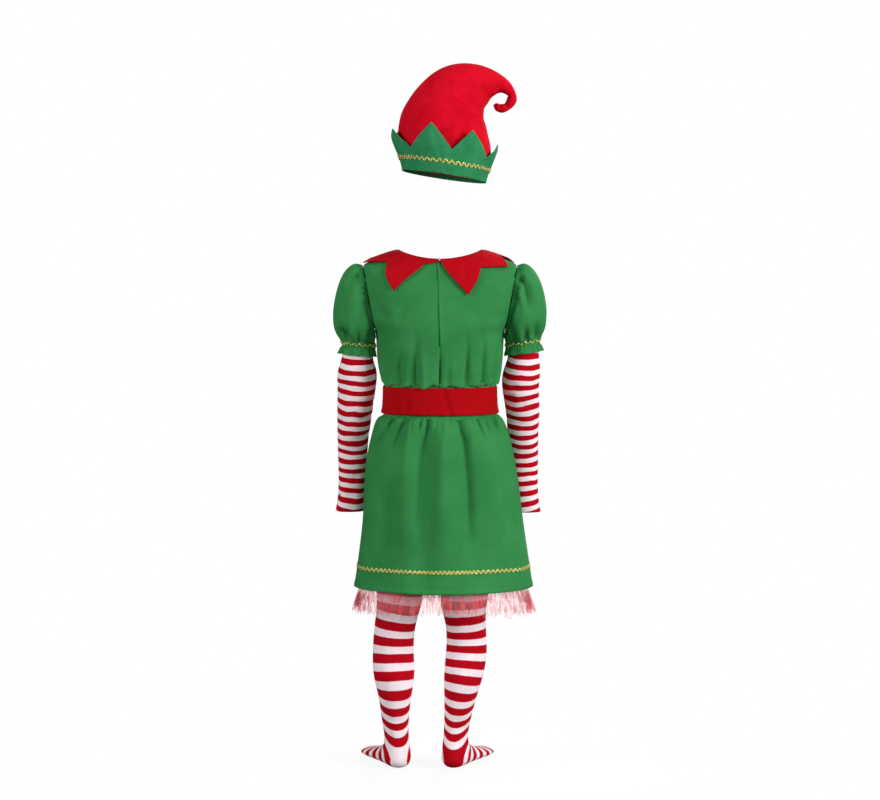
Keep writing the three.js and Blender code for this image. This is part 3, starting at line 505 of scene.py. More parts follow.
# %% Shader sums
class Signal:
    """The output of a node. Sums on it add Math nodes to its material."""

    def __init__(self, finish, socket):
        self.finish = finish
        self.socket = socket

    def _sum(operation, swap=False):
        def method(self, other=0.0):
            values = (other, self) if swap else (self, other)
            return self.finish.node("ShaderNodeMath", {"operation": operation}, dict(enumerate(values)))

        return method

    __add__ = __radd__ = _sum("ADD")
    __mul__ = __rmul__ = _sum("MULTIPLY")
    __sub__ = _sum("SUBTRACT")
    __rsub__ = _sum("SUBTRACT", swap=True)
    __truediv__ = _sum("DIVIDE")
    __rtruediv__ = _sum("DIVIDE", swap=True)
    sine = _sum("SINE")
    size = _sum("ABSOLUTE")
    part = _sum("FRACT")
    most = _sum("MAXIMUM")


def colour(red, green, blue):
    """A screen colour, 0 to 255, as the shader's own numbers."""
    channels = [c / 255 for c in (red, green, blue)]
    linear = [c / 12.92 if c <= 0.04045 else ((c + 0.055) / 1.055) ** 2.4 for c in channels]
    return (*linear, 1.0)


print("half-bright grey is", round(colour(128, 128, 128)[0], 3), "to the shader")

# %% [markdown]
# A finish is one material with its shader, and a few shortcuts for the nodes that cloth needs: mixing
# two colours, a soft step, cloudy noise, the piece's own map and a relief.

# %% A finish
class Finish:
    """One material: its shader, its nodes and the coordinates that its patterns follow."""

    def __init__(self, name, constants):
        self.material = bpy.data.materials.new(name)
        self.material.use_nodes = True
        self.tree = self.material.node_tree
        self.shader = self.tree.nodes["Principled BSDF"]
        for socket, value in constants.items():
            self.shader.inputs[socket].default_value = value
        self.place = self.node("ShaderNodeTexCoord", output="Object")

    def node(self, kind, settings=None, sockets=None, output=0):
        """Adds a node: its settings first, then the values or links of its sockets."""
        made = self.tree.nodes.new(kind)
        for key, value in (settings or {}).items():
            setattr(made, key, value)
        for key, value in (sockets or {}).items():
            self.feed(made.inputs[key], value)
        return Signal(self, made.outputs[output])

    def feed(self, socket, value):
        if isinstance(value, Signal):
            self.tree.links.new(value.socket, socket)
        else:
            socket.default_value = value

    def blend(self, share, first, second):
        return self.node("ShaderNodeMix", {"data_type": "RGBA"}, {0: share, 6: first, 7: second}, 2)

    def step(self, value, start, end):
        sockets = {"Value": value, "From Min": start, "From Max": end}
        return self.node("ShaderNodeMapRange", {"interpolation_type": "SMOOTHSTEP"}, sockets)

    def noise(self, millimetres, detail=2.0, roughness=0.5, stretch=(1, 1, 1)):
        """Cloudy noise whose spots are about that many millimetres across."""
        placed = self.node("ShaderNodeMapping", {}, {"Vector": self.place, "Scale": stretch})
        sockets = {"Vector": placed, "Scale": 1 / (millimetres * MM), "Detail": detail}
        return self.node("ShaderNodeTexNoise", {}, {**sockets, "Roughness": roughness})

    def cloth_map(self):
        """Round and down the cloth, in metres, from the piece's own map."""
        sockets = {"Vector": self.node("ShaderNodeUVMap", {"uv_map": "cloth"})}
        return [self.node("ShaderNodeSeparateXYZ", {}, sockets, axis) for axis in (0, 1)]

    def relief(self, height, millimetres, strength=1.0):
        sockets = {"Height": height, "Distance": millimetres * MM, "Strength": strength}
        self.feed(self.shader.inputs["Normal"], self.node("ShaderNodeBump", {}, sockets))

    def paint(self, colours):
        self.feed(self.shader.inputs["Base Color"], colours)


print("shortcuts of a finish: blend, step, noise, cloth_map, relief, paint")

# %% [markdown]
# The dress, the collar and the belt are a smooth polyester knit that has been brushed until it has a
# very short nap. Brushed cloth has a soft sheen at grazing angles, a fine grain and faint cloudy
# patches where the nap lies another way.

# %% Napped polyester
MATT = {"Roughness": 0.9, "Specular IOR Level": 0.1}


def napped(name, dark, light, sheen=0.0):
    finish = Finish(name, {**MATT, "Sheen Weight": sheen, "Sheen Roughness": 0.4, "Sheen Tint": light})
    patches = finish.noise(70, detail=3)
    nap = finish.noise(2.2, detail=3, roughness=0.7)
    grain = finish.noise(0.6, detail=1)
    share = patches * 0.45 + nap * 0.4 + grain * 0.15
    finish.paint(finish.blend(finish.step(share, 0.25, 0.75), dark, light))
    finish.relief(nap * 0.6 + grain * 0.4, 0.35, 0.6)
    return finish


dress_green = napped("napped_green", colour(36, 112, 56), colour(56, 134, 74), 0.05)
collar_red = napped("napped_collar_red", colour(160, 0, 12), colour(184, 0, 20))
belt_red = napped("napped_belt_red", colour(150, 0, 4), colour(172, 0, 10))
print("napped:", [finish.material.name for finish in (dress_green, collar_red, belt_red)])

# %% [markdown]
# The hat is pressed felt: short fibres lie every way in it, so it is dull, it is speckled when seen
# close to, and its surface is softly lumpy. Noise stretched along three directions stands for fibres.

# %% Felt
FIBRE_STRETCHES = [(1, 1, 7), (7, 1, 1), (3, 3, 1)]


def felted(name, dark, light):
    finish = Finish(name, {"Roughness": 1.0, "Specular IOR Level": 0.06})
    fibres = [finish.noise(3.2, detail=2, roughness=0.6, stretch=s) for s in FIBRE_STRETCHES]
    mat = (fibres[0] + fibres[1] + fibres[2]) / 3
    clouds = finish.noise(28, detail=4, roughness=0.6)
    share = mat * 0.6 + clouds * 0.4
    finish.paint(finish.blend(finish.step(share, 0.3, 0.7), dark, light))
    finish.relief(mat, 0.7, 0.7)
    return finish


hat_red = felted("felt_red", colour(182, 0, 20), colour(210, 14, 38))
hat_green = felted("felt_green", colour(34, 112, 68), colour(56, 142, 94))
print("felted:", [finish.material.name for finish in (hat_red, hat_green)])

# %% [markdown]
# The undersleeves and the tights are striped jersey. The stripes follow the cloth's own map, which
# says how far down the tube a point lies, so they bend round the heel as knitted rings do. Jersey shows
# columns of small V-shaped stitches, which the relief gives, and they make the stripes' edges uneven.
# The red and the white are painted darker between the stitches as painted shade, mixed with random cloudy
# tone.

# %% Striped knit
# The darker red and the darker white are painted shade between the stitches, mixed with random cloudy
# tone.
KNIT_RED = colour(200, 0, 26)
KNIT_RED_SHADE_AND_MOTTLE = colour(160, 0, 14)
KNIT_WHITE = colour(249, 234, 239)
KNIT_WHITE_SHADE_AND_MOTTLE = colour(228, 208, 216)


def striped(name, pitch, red_share, start, stitch, loose):
    """Stripes in millimetres: their pitch, how far down the middle of the first red one lies, how wide
    a stitch is and how much the rows wander where the cloth is loose."""
    finish = Finish(name, MATT)
    across, down = finish.cloth_map()
    column = (across / (stitch * MM)).part()
    vee = (column - 0.5).size()
    broad = (finish.noise(38, detail=1) - 0.5) * (loose * MM)
    wander = broad + (finish.noise(9, detail=1) - 0.5) * MM
    row = down + wander + vee * (stitch * 0.9 * MM)
    offset = ((row - start * MM) / (pitch * MM) + 100.5).part()
    white = finish.step((offset - 0.5).size(), red_share / 2 - 0.025, red_share / 2 + 0.025)
    rounds = ((down / (stitch * 0.8 * MM) + vee) * (2 * math.pi)).sine()
    stitches = (0.5 - vee) * 1.3 + rounds * 0.22
    clouds = finish.noise(24, detail=2)
    # Painted shade: the red and the white turn darker where the stitches sink, and also in random clouds.
    red_shade_and_mottle = finish.step(stitches * 0.5 + clouds * 0.5, 0.2, 0.7)
    red = finish.blend(red_shade_and_mottle, KNIT_RED_SHADE_AND_MOTTLE, KNIT_RED)
    pale_shade_and_mottle = finish.step(stitches * 0.6 + clouds * 0.4, 0.0, 0.55)
    pale = finish.blend(pale_shade_and_mottle, KNIT_WHITE_SHADE_AND_MOTTLE, KNIT_WHITE)
    finish.paint(finish.blend(white, red, pale))
    finish.relief(stitches, 0.28, 0.8)
    return finish


sleeve_knit = {
    "right": striped("jersey_sleeve_right", 19.6, 0.52, 1.3, 1.3, 6),
    "left": striped("jersey_sleeve_left", 19.6, 0.52, 8.9, 1.3, 8),
}
tights_knit = {
    "right": striped("jersey_tights_right", 29.1, 0.54, 6.6, 1.0, 2),
    "left": striped("jersey_tights_left", 32.9, 0.54, 20.4, 1.0, 2),
}
print("striped:", [finish.material.name for finish in (*sleeve_knit.values(), *tights_knit.values())])

# %% [markdown]
# Net is mostly holes. Its threads cross at a slant and leave diamonds a couple of millimetres wide, so
# the surface is see-through between them, and it looks redder where pleats lie close together. The
# alpha follows the two families of threads over a weak haze that keeps the net visible from afar.

# %% Net
NET_DIAMOND = 2.4
NET_GIRTH = 1.25
NET_DROP = 0.1


def netted(name, haze):
    finish = Finish(name, {"Roughness": 0.7, "Specular IOR Level": 0.1})
    across, down = finish.cloth_map()
    u = across * (NET_GIRTH / (NET_DIAMOND * MM))
    v = down * (NET_DROP / (NET_DIAMOND * MM))
    rising = ((u + v) * math.pi).sine().size()
    falling = ((u - v) * math.pi).sine().size()
    threads = (1 - finish.step(rising, 0.18, 0.42)).most(1 - finish.step(falling, 0.18, 0.42))
    pleats = finish.step(finish.noise(5, detail=3, roughness=0.8, stretch=(1, 1, 0.08)), 0.42, 0.62)
    torn = finish.step(finish.noise(60, detail=1), 0.35, 0.65)
    cover = (threads * 0.22 + pleats * 0.48) * (0.45 + torn * 0.55) + haze
    finish.feed(finish.shader.inputs["Alpha"], cover)
    finish.paint(finish.blend(pleats, colour(255, 176, 182), colour(226, 52, 72)))
    return finish


net_red = netted("net_red", 0.03)
net_pale = netted("net_pale", 0.0)
print("netted:", [finish.material.name for finish in (net_red, net_pale)])

# %% [markdown]
# The ric-rac is a flat zigzag braid woven from a shiny yellow-green tinsel thread. Its glitter comes from
# narrow slanting bundles that mirror the light one way and then the other; here that glitter is painted
# into the colour as near-white painted highlights and dark olive painted shade.

# %% Tinsel braid
def tinsel(name):
    finish = Finish(name, {"Metallic": 0.2, "Roughness": 0.3})
    along, across = finish.cloth_map()
    plait = ((along * 3.0 + (across - 0.5).size() * 1.6) * (2 * math.pi)).sine()
    glitter = finish.noise(2.6, detail=2, roughness=0.8)
    # Painted light: dark olive painted shade, then gold, then near-white painted highlights, as the plait
    # and the noise rise.
    painted_highlight_and_shade = plait * 0.25 + glitter
    gold_and_painted_shade = finish.blend(finish.step(painted_highlight_and_shade, 0.32, 0.56), colour(104, 104, 0), colour(206, 198, 24))
    finish.paint(finish.blend(finish.step(painted_highlight_and_shade, 0.58, 0.76), gold_and_painted_shade, colour(255, 255, 190)))
    finish.relief(plait, 0.3, 0.8)
    return finish


gold = tinsel("tinsel_braid")
print("all finishes:", sorted(material.name for material in bpy.data.materials))

# %% [markdown]
# A fine sheet becomes a finished piece with smooth shading, its material, a real thickness, and the
# lines that say which body it rides on and which solid it stands for.

# %% Finish a piece
def finished(ob, finish, replaces=(), cloth=None):
    """Finishes a piece. Cloth is its thickness in millimetres, all of it towards the inside."""
    if cloth:
        wall = ob.modifiers.new("cloth thickness", "SOLIDIFY")
        wall.thickness = cloth * MM
        wall.offset = -1
    ob.data.polygons.foreach_set("use_smooth", [True] * len(ob.data.polygons))
    ob.data.materials.clear()
    ob.data.materials.append(finish.material)
    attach(ob, "root")
    if replaces:
        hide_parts(*replaces)
    print(ob.name, len(ob.data.polygons), "faces")
    return ob


print("solids to stand for:", len(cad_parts))

# %% [markdown]
# Strips that aren't solids of their own, such as braid and net, are grids bent into shape. They lie on
# the cloth that is there already, so rays are cast at it to find where it is.

# %% Bend a strip and find the cloth
SIDESTEPS = (0, 0.3, -0.3, 0.8, -0.8)


def new_object(name, bm):
    mesh = bpy.data.meshes.new(name)
    bm.to_mesh(mesh)
    bm.free()
    ob = bpy.data.objects.new(name, mesh)
    bpy.context.scene.collection.objects.link(ob)
    return ob


def rolled(name, around, down, place, closed=True):
    """A grid bent into shape: place(u, v) is the point u round it and v down it, both 0 to 1."""
    bm = bmesh.new()
    bm.loops.layers.uv.new("cloth")
    bmesh.ops.create_grid(bm, x_segments=around, y_segments=down, size=1, calc_uvs=True)
    for v in bm.verts:
        v.co = place((v.co.x + 1) / 2, (v.co.y + 1) / 2)
    if closed:
        bmesh.ops.remove_doubles(bm, verts=bm.verts, dist=WELD)
    bmesh.ops.recalc_face_normals(bm, faces=bm.faces)
    return new_object(name, bm)


def tree_of(*obs):
    """A search tree over the faces of sheets, to lay trims on them."""
    bm = bmesh.new()
    for ob in obs:
        bm.from_mesh(ob.data)
    tree = BVHTree.FromBMesh(bm)
    bm.free()
    return tree


def cast(tree, start, heading):
    """Where a ray meets a sheet. A ray that slips through a seam is tried again beside it."""
    for step in SIDESTEPS:
        aside = Vector((-heading.y, heading.x, 0)) * (step * MM)
        place, normal = tree.ray_cast(start + aside, heading)[:2]
        if place:
            return place - aside, normal
    raise ValueError("no cloth beyond " + str(start))


print("a ray is tried at most", len(SIDESTEPS), "times")

# %% [markdown]
# The bodice is three panels: two backs, which open down the middle, and one front. The belt gathers
# them, so soft folds rise from it and fade towards the shoulder blades. They are drawn one by one, each
# with its own length and depth, first at the back where the picture shows them and then, as uneven, at
# the front.

# %% Folds of the bodice
BELT_TOP_Z = -226
# Degrees from the centre back, further points of degrees and height, width, depth, end fade
BACK_FOLDS = folds_from(BELT_TOP_Z, [
    (-70, [(-66, -165)], 6.8, 5, 0.8),
    (-49, [(-47, -190), (-43, -150)], 7.6, 9, 0.7),
    (-40, [(-38, -180)], 5.5, -3.6, 0.8),
    (-30, [(-29, -175), (-27, -110)], 7.4, 7.4, 0.8),
    (-20, [(-22, -150)], 7, -4, 0.7),
    (-2, [(-1, -150)], 6, 6.4, 0.7),
    (13, [(14, -170)], 7.5, -4, 0.7),
    (29, [(29, -150), (26, -105)], 7.4, 8.4, 0.8),
    (38, [(38, -170)], 5.4, -3.6, 0.8),
    (48, [(47, -160), (43, -115)], 7.2, 8.4, 0.8),
    (57, [(57, -175)], 5.4, -3.4, 0.8),
    (69, [(70, -140)], 7.4, 7, 0.8),
    (78, [(79, -170)], 5.4, -3, 0.8),
]) + [
    Crease([(52, -112), (66, -88)], 9.5, 3.2, (0.4, 0.4)),
    Crease([(-50, -108), (-64, -84)], 9.5, 3.9, (0.4, 0.4)),
    Crease([(-40, -60), (-46, -130)], 13.5, 2.5, (0.4, 0.5)),
    Crease([(33, -70), (38, -128)], 14.9, 2.2, (0.4, 0.5)),
]
FRONT_FOLDS = folds_from(BELT_TOP_Z, [
    (118, [(115, -160)], 6.8, 5.5, 0.8),
    (126, [(127, -185)], 4.7, -3, 0.8),
    (141, [(138, -150)], 8.1, 5.8, 0.8),
    (158, [(160, -180)], 5.4, 3.6, 0.8),
    (166, [(165, -192)], 4.7, -2.8, 0.8),
    (187, [(186, -165)], 6.8, 4.6, 0.8),
    (204, [(207, -150)], 8.1, 6, 0.8),
    (214, [(215, -186)], 4.7, -3, 0.8),
    (230, [(233, -158)], 7.4, 5.5, 0.8),
    (246, [(244, -175)], 5.4, 3.6, 0.8),
]) + [
    Crease([(128, -112), (113, -84)], 9.5, 3.9, (0.4, 0.4)),
    Crease([(231, -110), (247, -86)], 9.5, 3.9, (0.4, 0.4)),
    Crease([(150, -95), (156, -140)], 13.5, 2.5, (0.4, 0.5)),
]
print("folds of the bodice:", len(BACK_FOLDS), "behind and", len(FRONT_FOLDS), "in front")

# %% [markdown]
# The folds end in lobes of slack cloth that hang over the belt's upper edge, at the same places. The
# seams at the sides, the armholes and the middle are drawn in.

# %% Bodice
DRESS_CLOTH = 1.2
NECK_REACH = 72
SEAM_FOOT_Z = -225
MIDDLE_SEAM_X = 4
OVERHANG = [
    # degrees from the centre back, half width in degrees, how far it hangs down in millimetres
    (-27, 6, 6),
    (-19, 5, 8),
    (1, 7, 7),
    (20, 5, 6),
    (29, 5, 7),
    (-44, 6, 6),
    (46, 6, 6),
    (70, 6, 7),
    (-68, 7, 7),
    (112, 7, 7),
    (138, 6, 6),
    (163, 7, 7),
    (193, 6, 6),
    (218, 7, 7),
    (244, 6, 6),
]
BLOUSE_Z = -224
BLOUSE_REACH = 5
BLOUSE_OUT = 0.45
BLOUSE_DOWN = 0.9


def hang_over(ob):
    """Lets lobes of the gathered cloth hang over the belt's upper edge."""
    places = places_of(ob) / MM
    hang = np.zeros(len(places))
    for middle, spread, depth in OVERHANG:
        aside = (degrees_round(places) - middle + 180) % 360 - 180
        hang += depth * hill(aside, 0, spread)
    hang *= hill(places[:, 2], BLOUSE_Z, BLOUSE_REACH)
    out = places * [1, 1, 0]
    out /= np.linalg.norm(out, axis=1)[:, None]
    place_points(ob, (places + hang[:, None] * (out * BLOUSE_OUT - [0, 0, BLOUSE_DOWN])) * MM)


def sewn_bodice(co):
    """True on the bodice's seams, but not on its neckline or behind the belt."""
    return co.z > SEAM_FOOT_Z and math.hypot(co.x, co.y) > NECK_REACH or abs(co.x) < MIDDLE_SEAM_X


def make_bodice(node, chart, folds):
    ob = smooth_sheet(node, [DRESS_CLOTH])
    press(ob, chart, folds)
    draw_in_seams(ob, sewn_bodice)
    hang_over(ob)
    return finished(ob, dress_green, [node], DRESS_CLOTH)


back_right = make_bodice("bodice_back_right", round_body, BACK_FOLDS)
back_left = make_bodice("bodice_back_left", round_body, BACK_FOLDS)
front = make_bodice("bodice_front", round_front, FRONT_FOLDS)

# %% [markdown]
# The back opens in the middle. The right panel laps a few millimetres over the left as far down as the
# opening goes, and below that the two are sewn edge to edge. The lap is a narrow strip that follows the
# cloth under it. Its left edge is a rounded fold that stands proud, and its right edge runs into the
# right panel.

# %% Back opening
LAP_TOP = 4
LAP_BOTTOM = -158
LAP_LEFT = -5.6
LAP_DRIFT = 5.6
LAP_WIDTH = 11
LAP_WANDER = 0.4
LAP_LIFT = 2.6
LAP_BURIED = 0.9
LAP_CLOTH = 1.3
LAP_SPREAD = 3.2
LAP_FOLD_SHARE = 1 / 8
LAP_RUN_OUT = 0.05
LAP_GRID = (14, 60)
OPEN_GAP = 2.2
BEHIND_Y = -200


def make_lap():
    under = tree_of(back_right, back_left)

    def place(u, v):
        height = LAP_TOP + (LAP_BOTTOM - LAP_TOP) * v
        right = LAP_LEFT + LAP_DRIFT * v + LAP_WIDTH * u + LAP_WANDER * math.sin(v * 9)
        beside = [right - LAP_SPREAD, right + LAP_SPREAD]
        beside = [math.copysign(max(abs(x), OPEN_GAP), x) for x in beside]
        starts = [Vector((x, BEHIND_Y, height)) * MM for x in beside]
        hits = [cast(under, start, Vector((0, 1, 0)))[0] for start in starts]
        fold = math.sin(math.pi / 2 * min(u / LAP_FOLD_SHARE, 1)) * ramp(1 - v, 0, LAP_RUN_OUT)
        lift = LAP_LIFT * fold * (1 - u) - LAP_BURIED * max(u, 1 - fold)
        return (hits[0] + hits[1]) / 2 + Vector((0, -lift * MM, 0))

    ob = rolled("back_lap", *LAP_GRID, place, closed=False)
    if sum(face.normal.y for face in ob.data.polygons) > 0:
        ob.data.flip_normals()
    return finished(ob, dress_green, cloth=LAP_CLOTH)


back_lap = make_lap()

# %% [markdown]
# The collar is two jagged pieces of red cloth that start at the neckline, stand a little off the
# shoulders and end in points. Their edges are cut, not hemmed, so they stay crisp. The points lift a
# little more than the cloth between them.

# %% Collar
COLLAR_CLOTH = 1.6
COLLAR_WAVES = [
    Crease([(-35, 0), (-33, -52)], 9.9, -1.3, (0.3, 0.2)),
    Crease([(-22, -8), (-30, -40)], 5.5, 1.1, (0.3, 0.4)),
    Crease([(21, 0), (20, -55)], 9.9, -1.4, (0.3, 0.2)),
    Crease([(33, -4), (26, -40)], 5.5, 1.1, (0.3, 0.4)),
    Crease([(60, 14), (64, -10)], 8.8, -1.1, (0.3, 0.3)),
    Crease([(-58, 14), (-66, -6)], 8.8, 1, (0.3, 0.3)),
]

for side in ("right", "left"):
    collar = smooth_sheet("collar_" + side, [COLLAR_CLOTH])
    press(collar, round_body, COLLAR_WAVES)
    finished(collar, collar_red, ["collar_" + side], COLLAR_CLOTH)

# %% [markdown]
# A puff sleeve is cut much wider than the arm and gathered twice: into the armhole at its cap and onto
# an elastic above its lower edge. Gathers are many small folds of uneven size that die out away from
# the stitching. They are worked out round each seam, and the few long folds are listed one by one.

# %% Creases of the puff sleeves
PUFF_CREASES = {
    "right": [
        Crease([(146, -22), (160, -48), (168, -104)], 7.9, 9, (0.1, 0.5)),
        Crease([(150, -16), (172, -44), (182, -88)], 7.2, -4.8, (0.2, 0.6)),
        Crease([(141, -58), (150, -110)], 8.6, 4.8, (0.2, 0.6)),
        Crease([(176, -142), (180, -104)], 7.2, 5.3, (0.05, 0.7)),
        Crease([(160, -148), (158, -112)], 6.5, 4.8, (0.05, 0.7)),
        Crease([(138, -152), (140, -120)], 6.5, 4.8, (0.05, 0.7)),
    ],
    "left": [
        Crease([(-148, -20), (-158, -28), (-182, -44)], 6.5, 7.8, (0.1, 0.6)),
        Crease([(-147, -34), (-160, -46)], 5.7, 4.8, (0.1, 0.6)),
        Crease([(-142, -66), (-136, -120)], 8.6, 5.3, (0.2, 0.5)),
        Crease([(-190, -124), (-176, -140), (-170, -150)], 5.7, 6.6, (0.3, 0.1)),
        Crease([(-176, -148), (-186, -104)], 7.2, 4.2, (0.05, 0.7)),
        Crease([(-150, -152), (-156, -114)], 7.2, 4.8, (0.05, 0.7)),
        Crease([(-132, -154), (-130, -120)], 7.2, 4.8, (0.05, 0.7)),
    ],
}
print("drawn creases:", {side: len(rows) for side, rows in PUFF_CREASES.items()})

# %% [markdown]
# The gathers follow the stitching: how high a point lies above the slanting elastic, or how far it lies
# from the armhole's seam, says how much of each kind of gather it takes. The drawn creases are pressed
# in on the back, and all but the first again, more weakly, on the front.

# %% Puff sleeves
ELASTIC = {
    "right": {"centre": (155, 5, -151), "rise": 10 / 62},
    "left": {"centre": (-152.4, 5, -154), "rise": -6 / 61},
}
ARMHOLE_X = 144
ARMHOLE_TOP_Z = -7
ARMHOLE_SLOPE = 0.185
SLEEVE_HEAD_Z = -75
CAP_FADE = (-110, -40)
Gathers = namedtuple("Gathers", "depth waves seed middle reach")
AT_ELASTIC = Gathers(1.9, 31, 1, 0, 7)
ABOVE_ELASTIC = Gathers(2.4, 15, 2, 20, 16)
AT_CAP = Gathers(1.3, 25, 4, 8, 10)
FRILL_DEPTH = 2.2
FRILL_WAVES = 13
FRILL_FADE = (3, 14)
BACK_SHARE = (-0.1, 0.5)
FRONT_WEAKER = 0.8


def gathered(kind, angle, distance):
    return kind.depth * hill(distance, kind.middle, kind.reach) * uneven(angle, kind.waves, kind.seed)


def gather_sleeve(ob, side):
    """Small uneven folds beside the armhole seam and on both sides of the elastic."""
    places = places_of(ob) / MM
    rise = ELASTIC[side]["rise"]
    up = np.array([-rise, 0, 1]) / math.hypot(rise, 1)
    offset = places - ELASTIC[side]["centre"]
    above = offset @ up
    angle = np.arctan2(offset[:, 0], -offset[:, 1])
    frill = FRILL_DEPTH * ramp(-above, *FRILL_FADE) * uneven(angle, FRILL_WAVES, 3)
    from_seam = abs(places[:, 0]) - ARMHOLE_X - (places[:, 2] - ARMHOLE_TOP_Z) * ARMHOLE_SLOPE
    over = np.arctan2(places[:, 1], places[:, 2] - SLEEVE_HEAD_Z)
    cap = gathered(AT_CAP, over, from_seam) * ramp(places[:, 2], *CAP_FADE)
    sink(ob, gathered(AT_ELASTIC, angle, above) + gathered(ABOVE_ELASTIC, angle, above) + frill + cap)


def make_puff(side):
    node = "puff_sleeve_" + side
    ob = smooth_sheet(node, [DRESS_CLOTH])
    towards = normals_of(ob)[:, 1]
    press(ob, flat_view, PUFF_CREASES[side], ramp(-towards, *BACK_SHARE))
    press(ob, flat_view, PUFF_CREASES[side][1:], ramp(towards, *BACK_SHARE) * FRONT_WEAKER)
    gather_sleeve(ob, side)
    finished(ob, dress_green, [node], DRESS_CLOTH)
    return ob


puffs = {side: make_puff(side) for side in ("right", "left")}

# %% [markdown]
# A tube of striped knit has to know how far down the arm or the leg each point lies. The rings of the
# solid are numbered from the top edge down; each ring's middle and the direction from ring to ring are
# kept with its points, and once the mesh is fine they give a map: round the tube, and down its middle
# line. At the heel the rings fan out, and the map fans with them.

# %% Rings of a tube
KNIT_CLOTH = 1


def rings_of(bm):
    """The rings of a tube's points, from its top edge down."""
    start = max((v for v in bm.verts if v.is_boundary), key=lambda v: v.co.z)
    ring = [start]
    while True:
        ahead = [
            e.other_vert(ring[-1])
            for e in ring[-1].link_edges
            if e.is_boundary and e.other_vert(ring[-1]) not in ring
        ]
        if not ahead:
            break
        ring.append(ahead[0])
    rings = [ring]
    seen = set(ring)
    while rings[-1]:
        below = []
        for v in rings[-1]:
            for w in (e.other_vert(v) for e in v.link_edges):
                if w not in seen:
                    seen.add(w)
                    below.append(w)
        rings.append(below)
    return rings[:-1]


def measure_tube(bm):
    """Keeps each ring's middle, its direction and its distance down the tube with its points."""
    down = bm.verts.layers.float.new("down")
    core = bm.verts.layers.float_vector.new("core")
    heading = bm.verts.layers.float_vector.new("heading")
    rings = rings_of(bm)
    middles = [sum((v.co for v in ring), Vector()) / len(ring) for ring in rings]
    length = 0
    for i, ring in enumerate(rings):
        ahead = middles[min(i + 1, len(rings) - 1)] - middles[max(i - 1, 0)]
        length += (middles[i] - middles[max(i - 1, 0)]).length
        for v in ring:
            v[down] = length
            v[core] = middles[i]
            v[heading] = ahead.normalized()
    return length


print("rings of a stocking:", len(rings_of(outer_sheet("tights_leg_right", [KNIT_CLOTH]))))

# %% [markdown]
# Once the mesh is fine, the values that were kept with the rings are read back, and a point's way round
# the tube is the angle of its offset from its ring's middle. Where a face lies across the line on which
# the angle jumps, its corners are brought to the same side.

# %% Map a tube
def kept(ob, name, field, width):
    """Reads a value that was kept with the points and takes it off the mesh."""
    layer = ob.data.attributes[name]
    rows = rows_of(layer.data, field, width)
    ob.data.attributes.remove(layer)
    return rows


def write_map(ob, turned, down, radius):
    """Writes the cloth map: metres round, from an angle, and metres down."""
    layer = ob.data.uv_layers.new(name="cloth")
    corners = np.empty(len(ob.data.loops), np.int32)
    ob.data.loops.foreach_get("vertex_index", corners)
    angle = turned[corners]
    for face in ob.data.polygons:
        part = slice(face.loop_start, face.loop_start + face.loop_total)
        if np.ptp(angle[part]) > math.pi:
            angle[part] = np.where(angle[part] < 0, angle[part] + 2 * math.pi, angle[part])
    pairs = np.column_stack([angle * radius, down[corners]])
    layer.data.foreach_set("uv", pairs.astype(np.float32).ravel())


def map_tube(ob, radius, rise=0.0):
    """Writes the map of a tube. Rise says by how many millimetres its rings are drawn up."""
    down = kept(ob, "down", "value", 1)[:, 0]
    offset = places_of(ob) - kept(ob, "core", "vector", 3)
    down += (offset * kept(ob, "heading", "vector", 3)).sum(1) + rise * MM
    turned = np.arctan2(offset[:, 0], -(offset[:, 1] + offset[:, 2]))
    write_map(ob, turned, down, radius)


def smooth_tube(node):
    """A tube's smooth sheet, with its rings kept on it."""
    bm = outer_sheet(node, [KNIT_CLOTH])
    fit_points(bm)
    print(node, "is", round(measure_tube(bm), 3), "m along its middle line")
    return subdivided(bm, node + "_cloth")


print("helpers for maps: kept, write_map, map_tube, smooth_tube")

# %% [markdown]
# The undersleeves are jersey tubes sewn into the puff sleeves at the elastic. They are a little long,
# so they wrinkle across at the elbow and above the wrist. The wrinkles are drawn on the view from
# behind, then again, moved and turned round in order, on the front.

# %% Undersleeves
ARM_WRINKLES = {
    "right": [
        Crease([(126, -232), (150, -238), (172, -233)], 4.6, 2.6, (0.3, 0.4)),
        Crease([(122, -252), (144, -256)], 5.2, 3, (0.1, 0.6)),
        Crease([(184, -262), (160, -270), (140, -268)], 4.6, 2, (0.2, 0.6)),
        Crease([(124, -292), (146, -300), (166, -298)], 5.8, 2.8, (0.1, 0.6)),
        Crease([(186, -330), (164, -336)], 4.6, 1.8, (0.2, 0.6)),
        Crease([(132, -352), (150, -362), (178, -360)], 5.8, 2.2, (0.2, 0.5)),
        Crease([(186, -402), (160, -408), (140, -402)], 5.8, 2, (0.2, 0.5)),
        Crease([(136, -440), (162, -446)], 4.6, 2, (0.2, 0.6)),
    ],
    "left": [
        Crease([(-122, -218), (-146, -224)], 4.6, 2.2, (0.1, 0.6)),
        Crease([(-124, -258), (-140, -268), (-166, -266)], 5.2, 3.6, (0.05, 0.6)),
        Crease([(-126, -286), (-146, -298), (-172, -292)], 5.8, 4, (0.05, 0.6)),
        Crease([(-192, -300), (-170, -310)], 4.6, 2.2, (0.1, 0.6)),
        Crease([(-130, -322), (-152, -334), (-178, -326)], 5.8, 4, (0.05, 0.6)),
        Crease([(-192, -356), (-166, -362), (-148, -354)], 5.2, 2.4, (0.1, 0.6)),
        Crease([(-140, -396), (-162, -408), (-184, -402)], 5.8, 3.2, (0.1, 0.6)),
        Crease([(-196, -440), (-172, -446), (-152, -438)], 5.2, 2.6, (0.1, 0.5)),
    ],
}
SLEEVE_RADIUS = 0.03
SLEEVE_TUCK = 3
SLEEVE_TUCK_Z = (-176, -160)
WRINKLE_SHARE = (-0.3, 0.3)
FRONT_SHIFT = 11

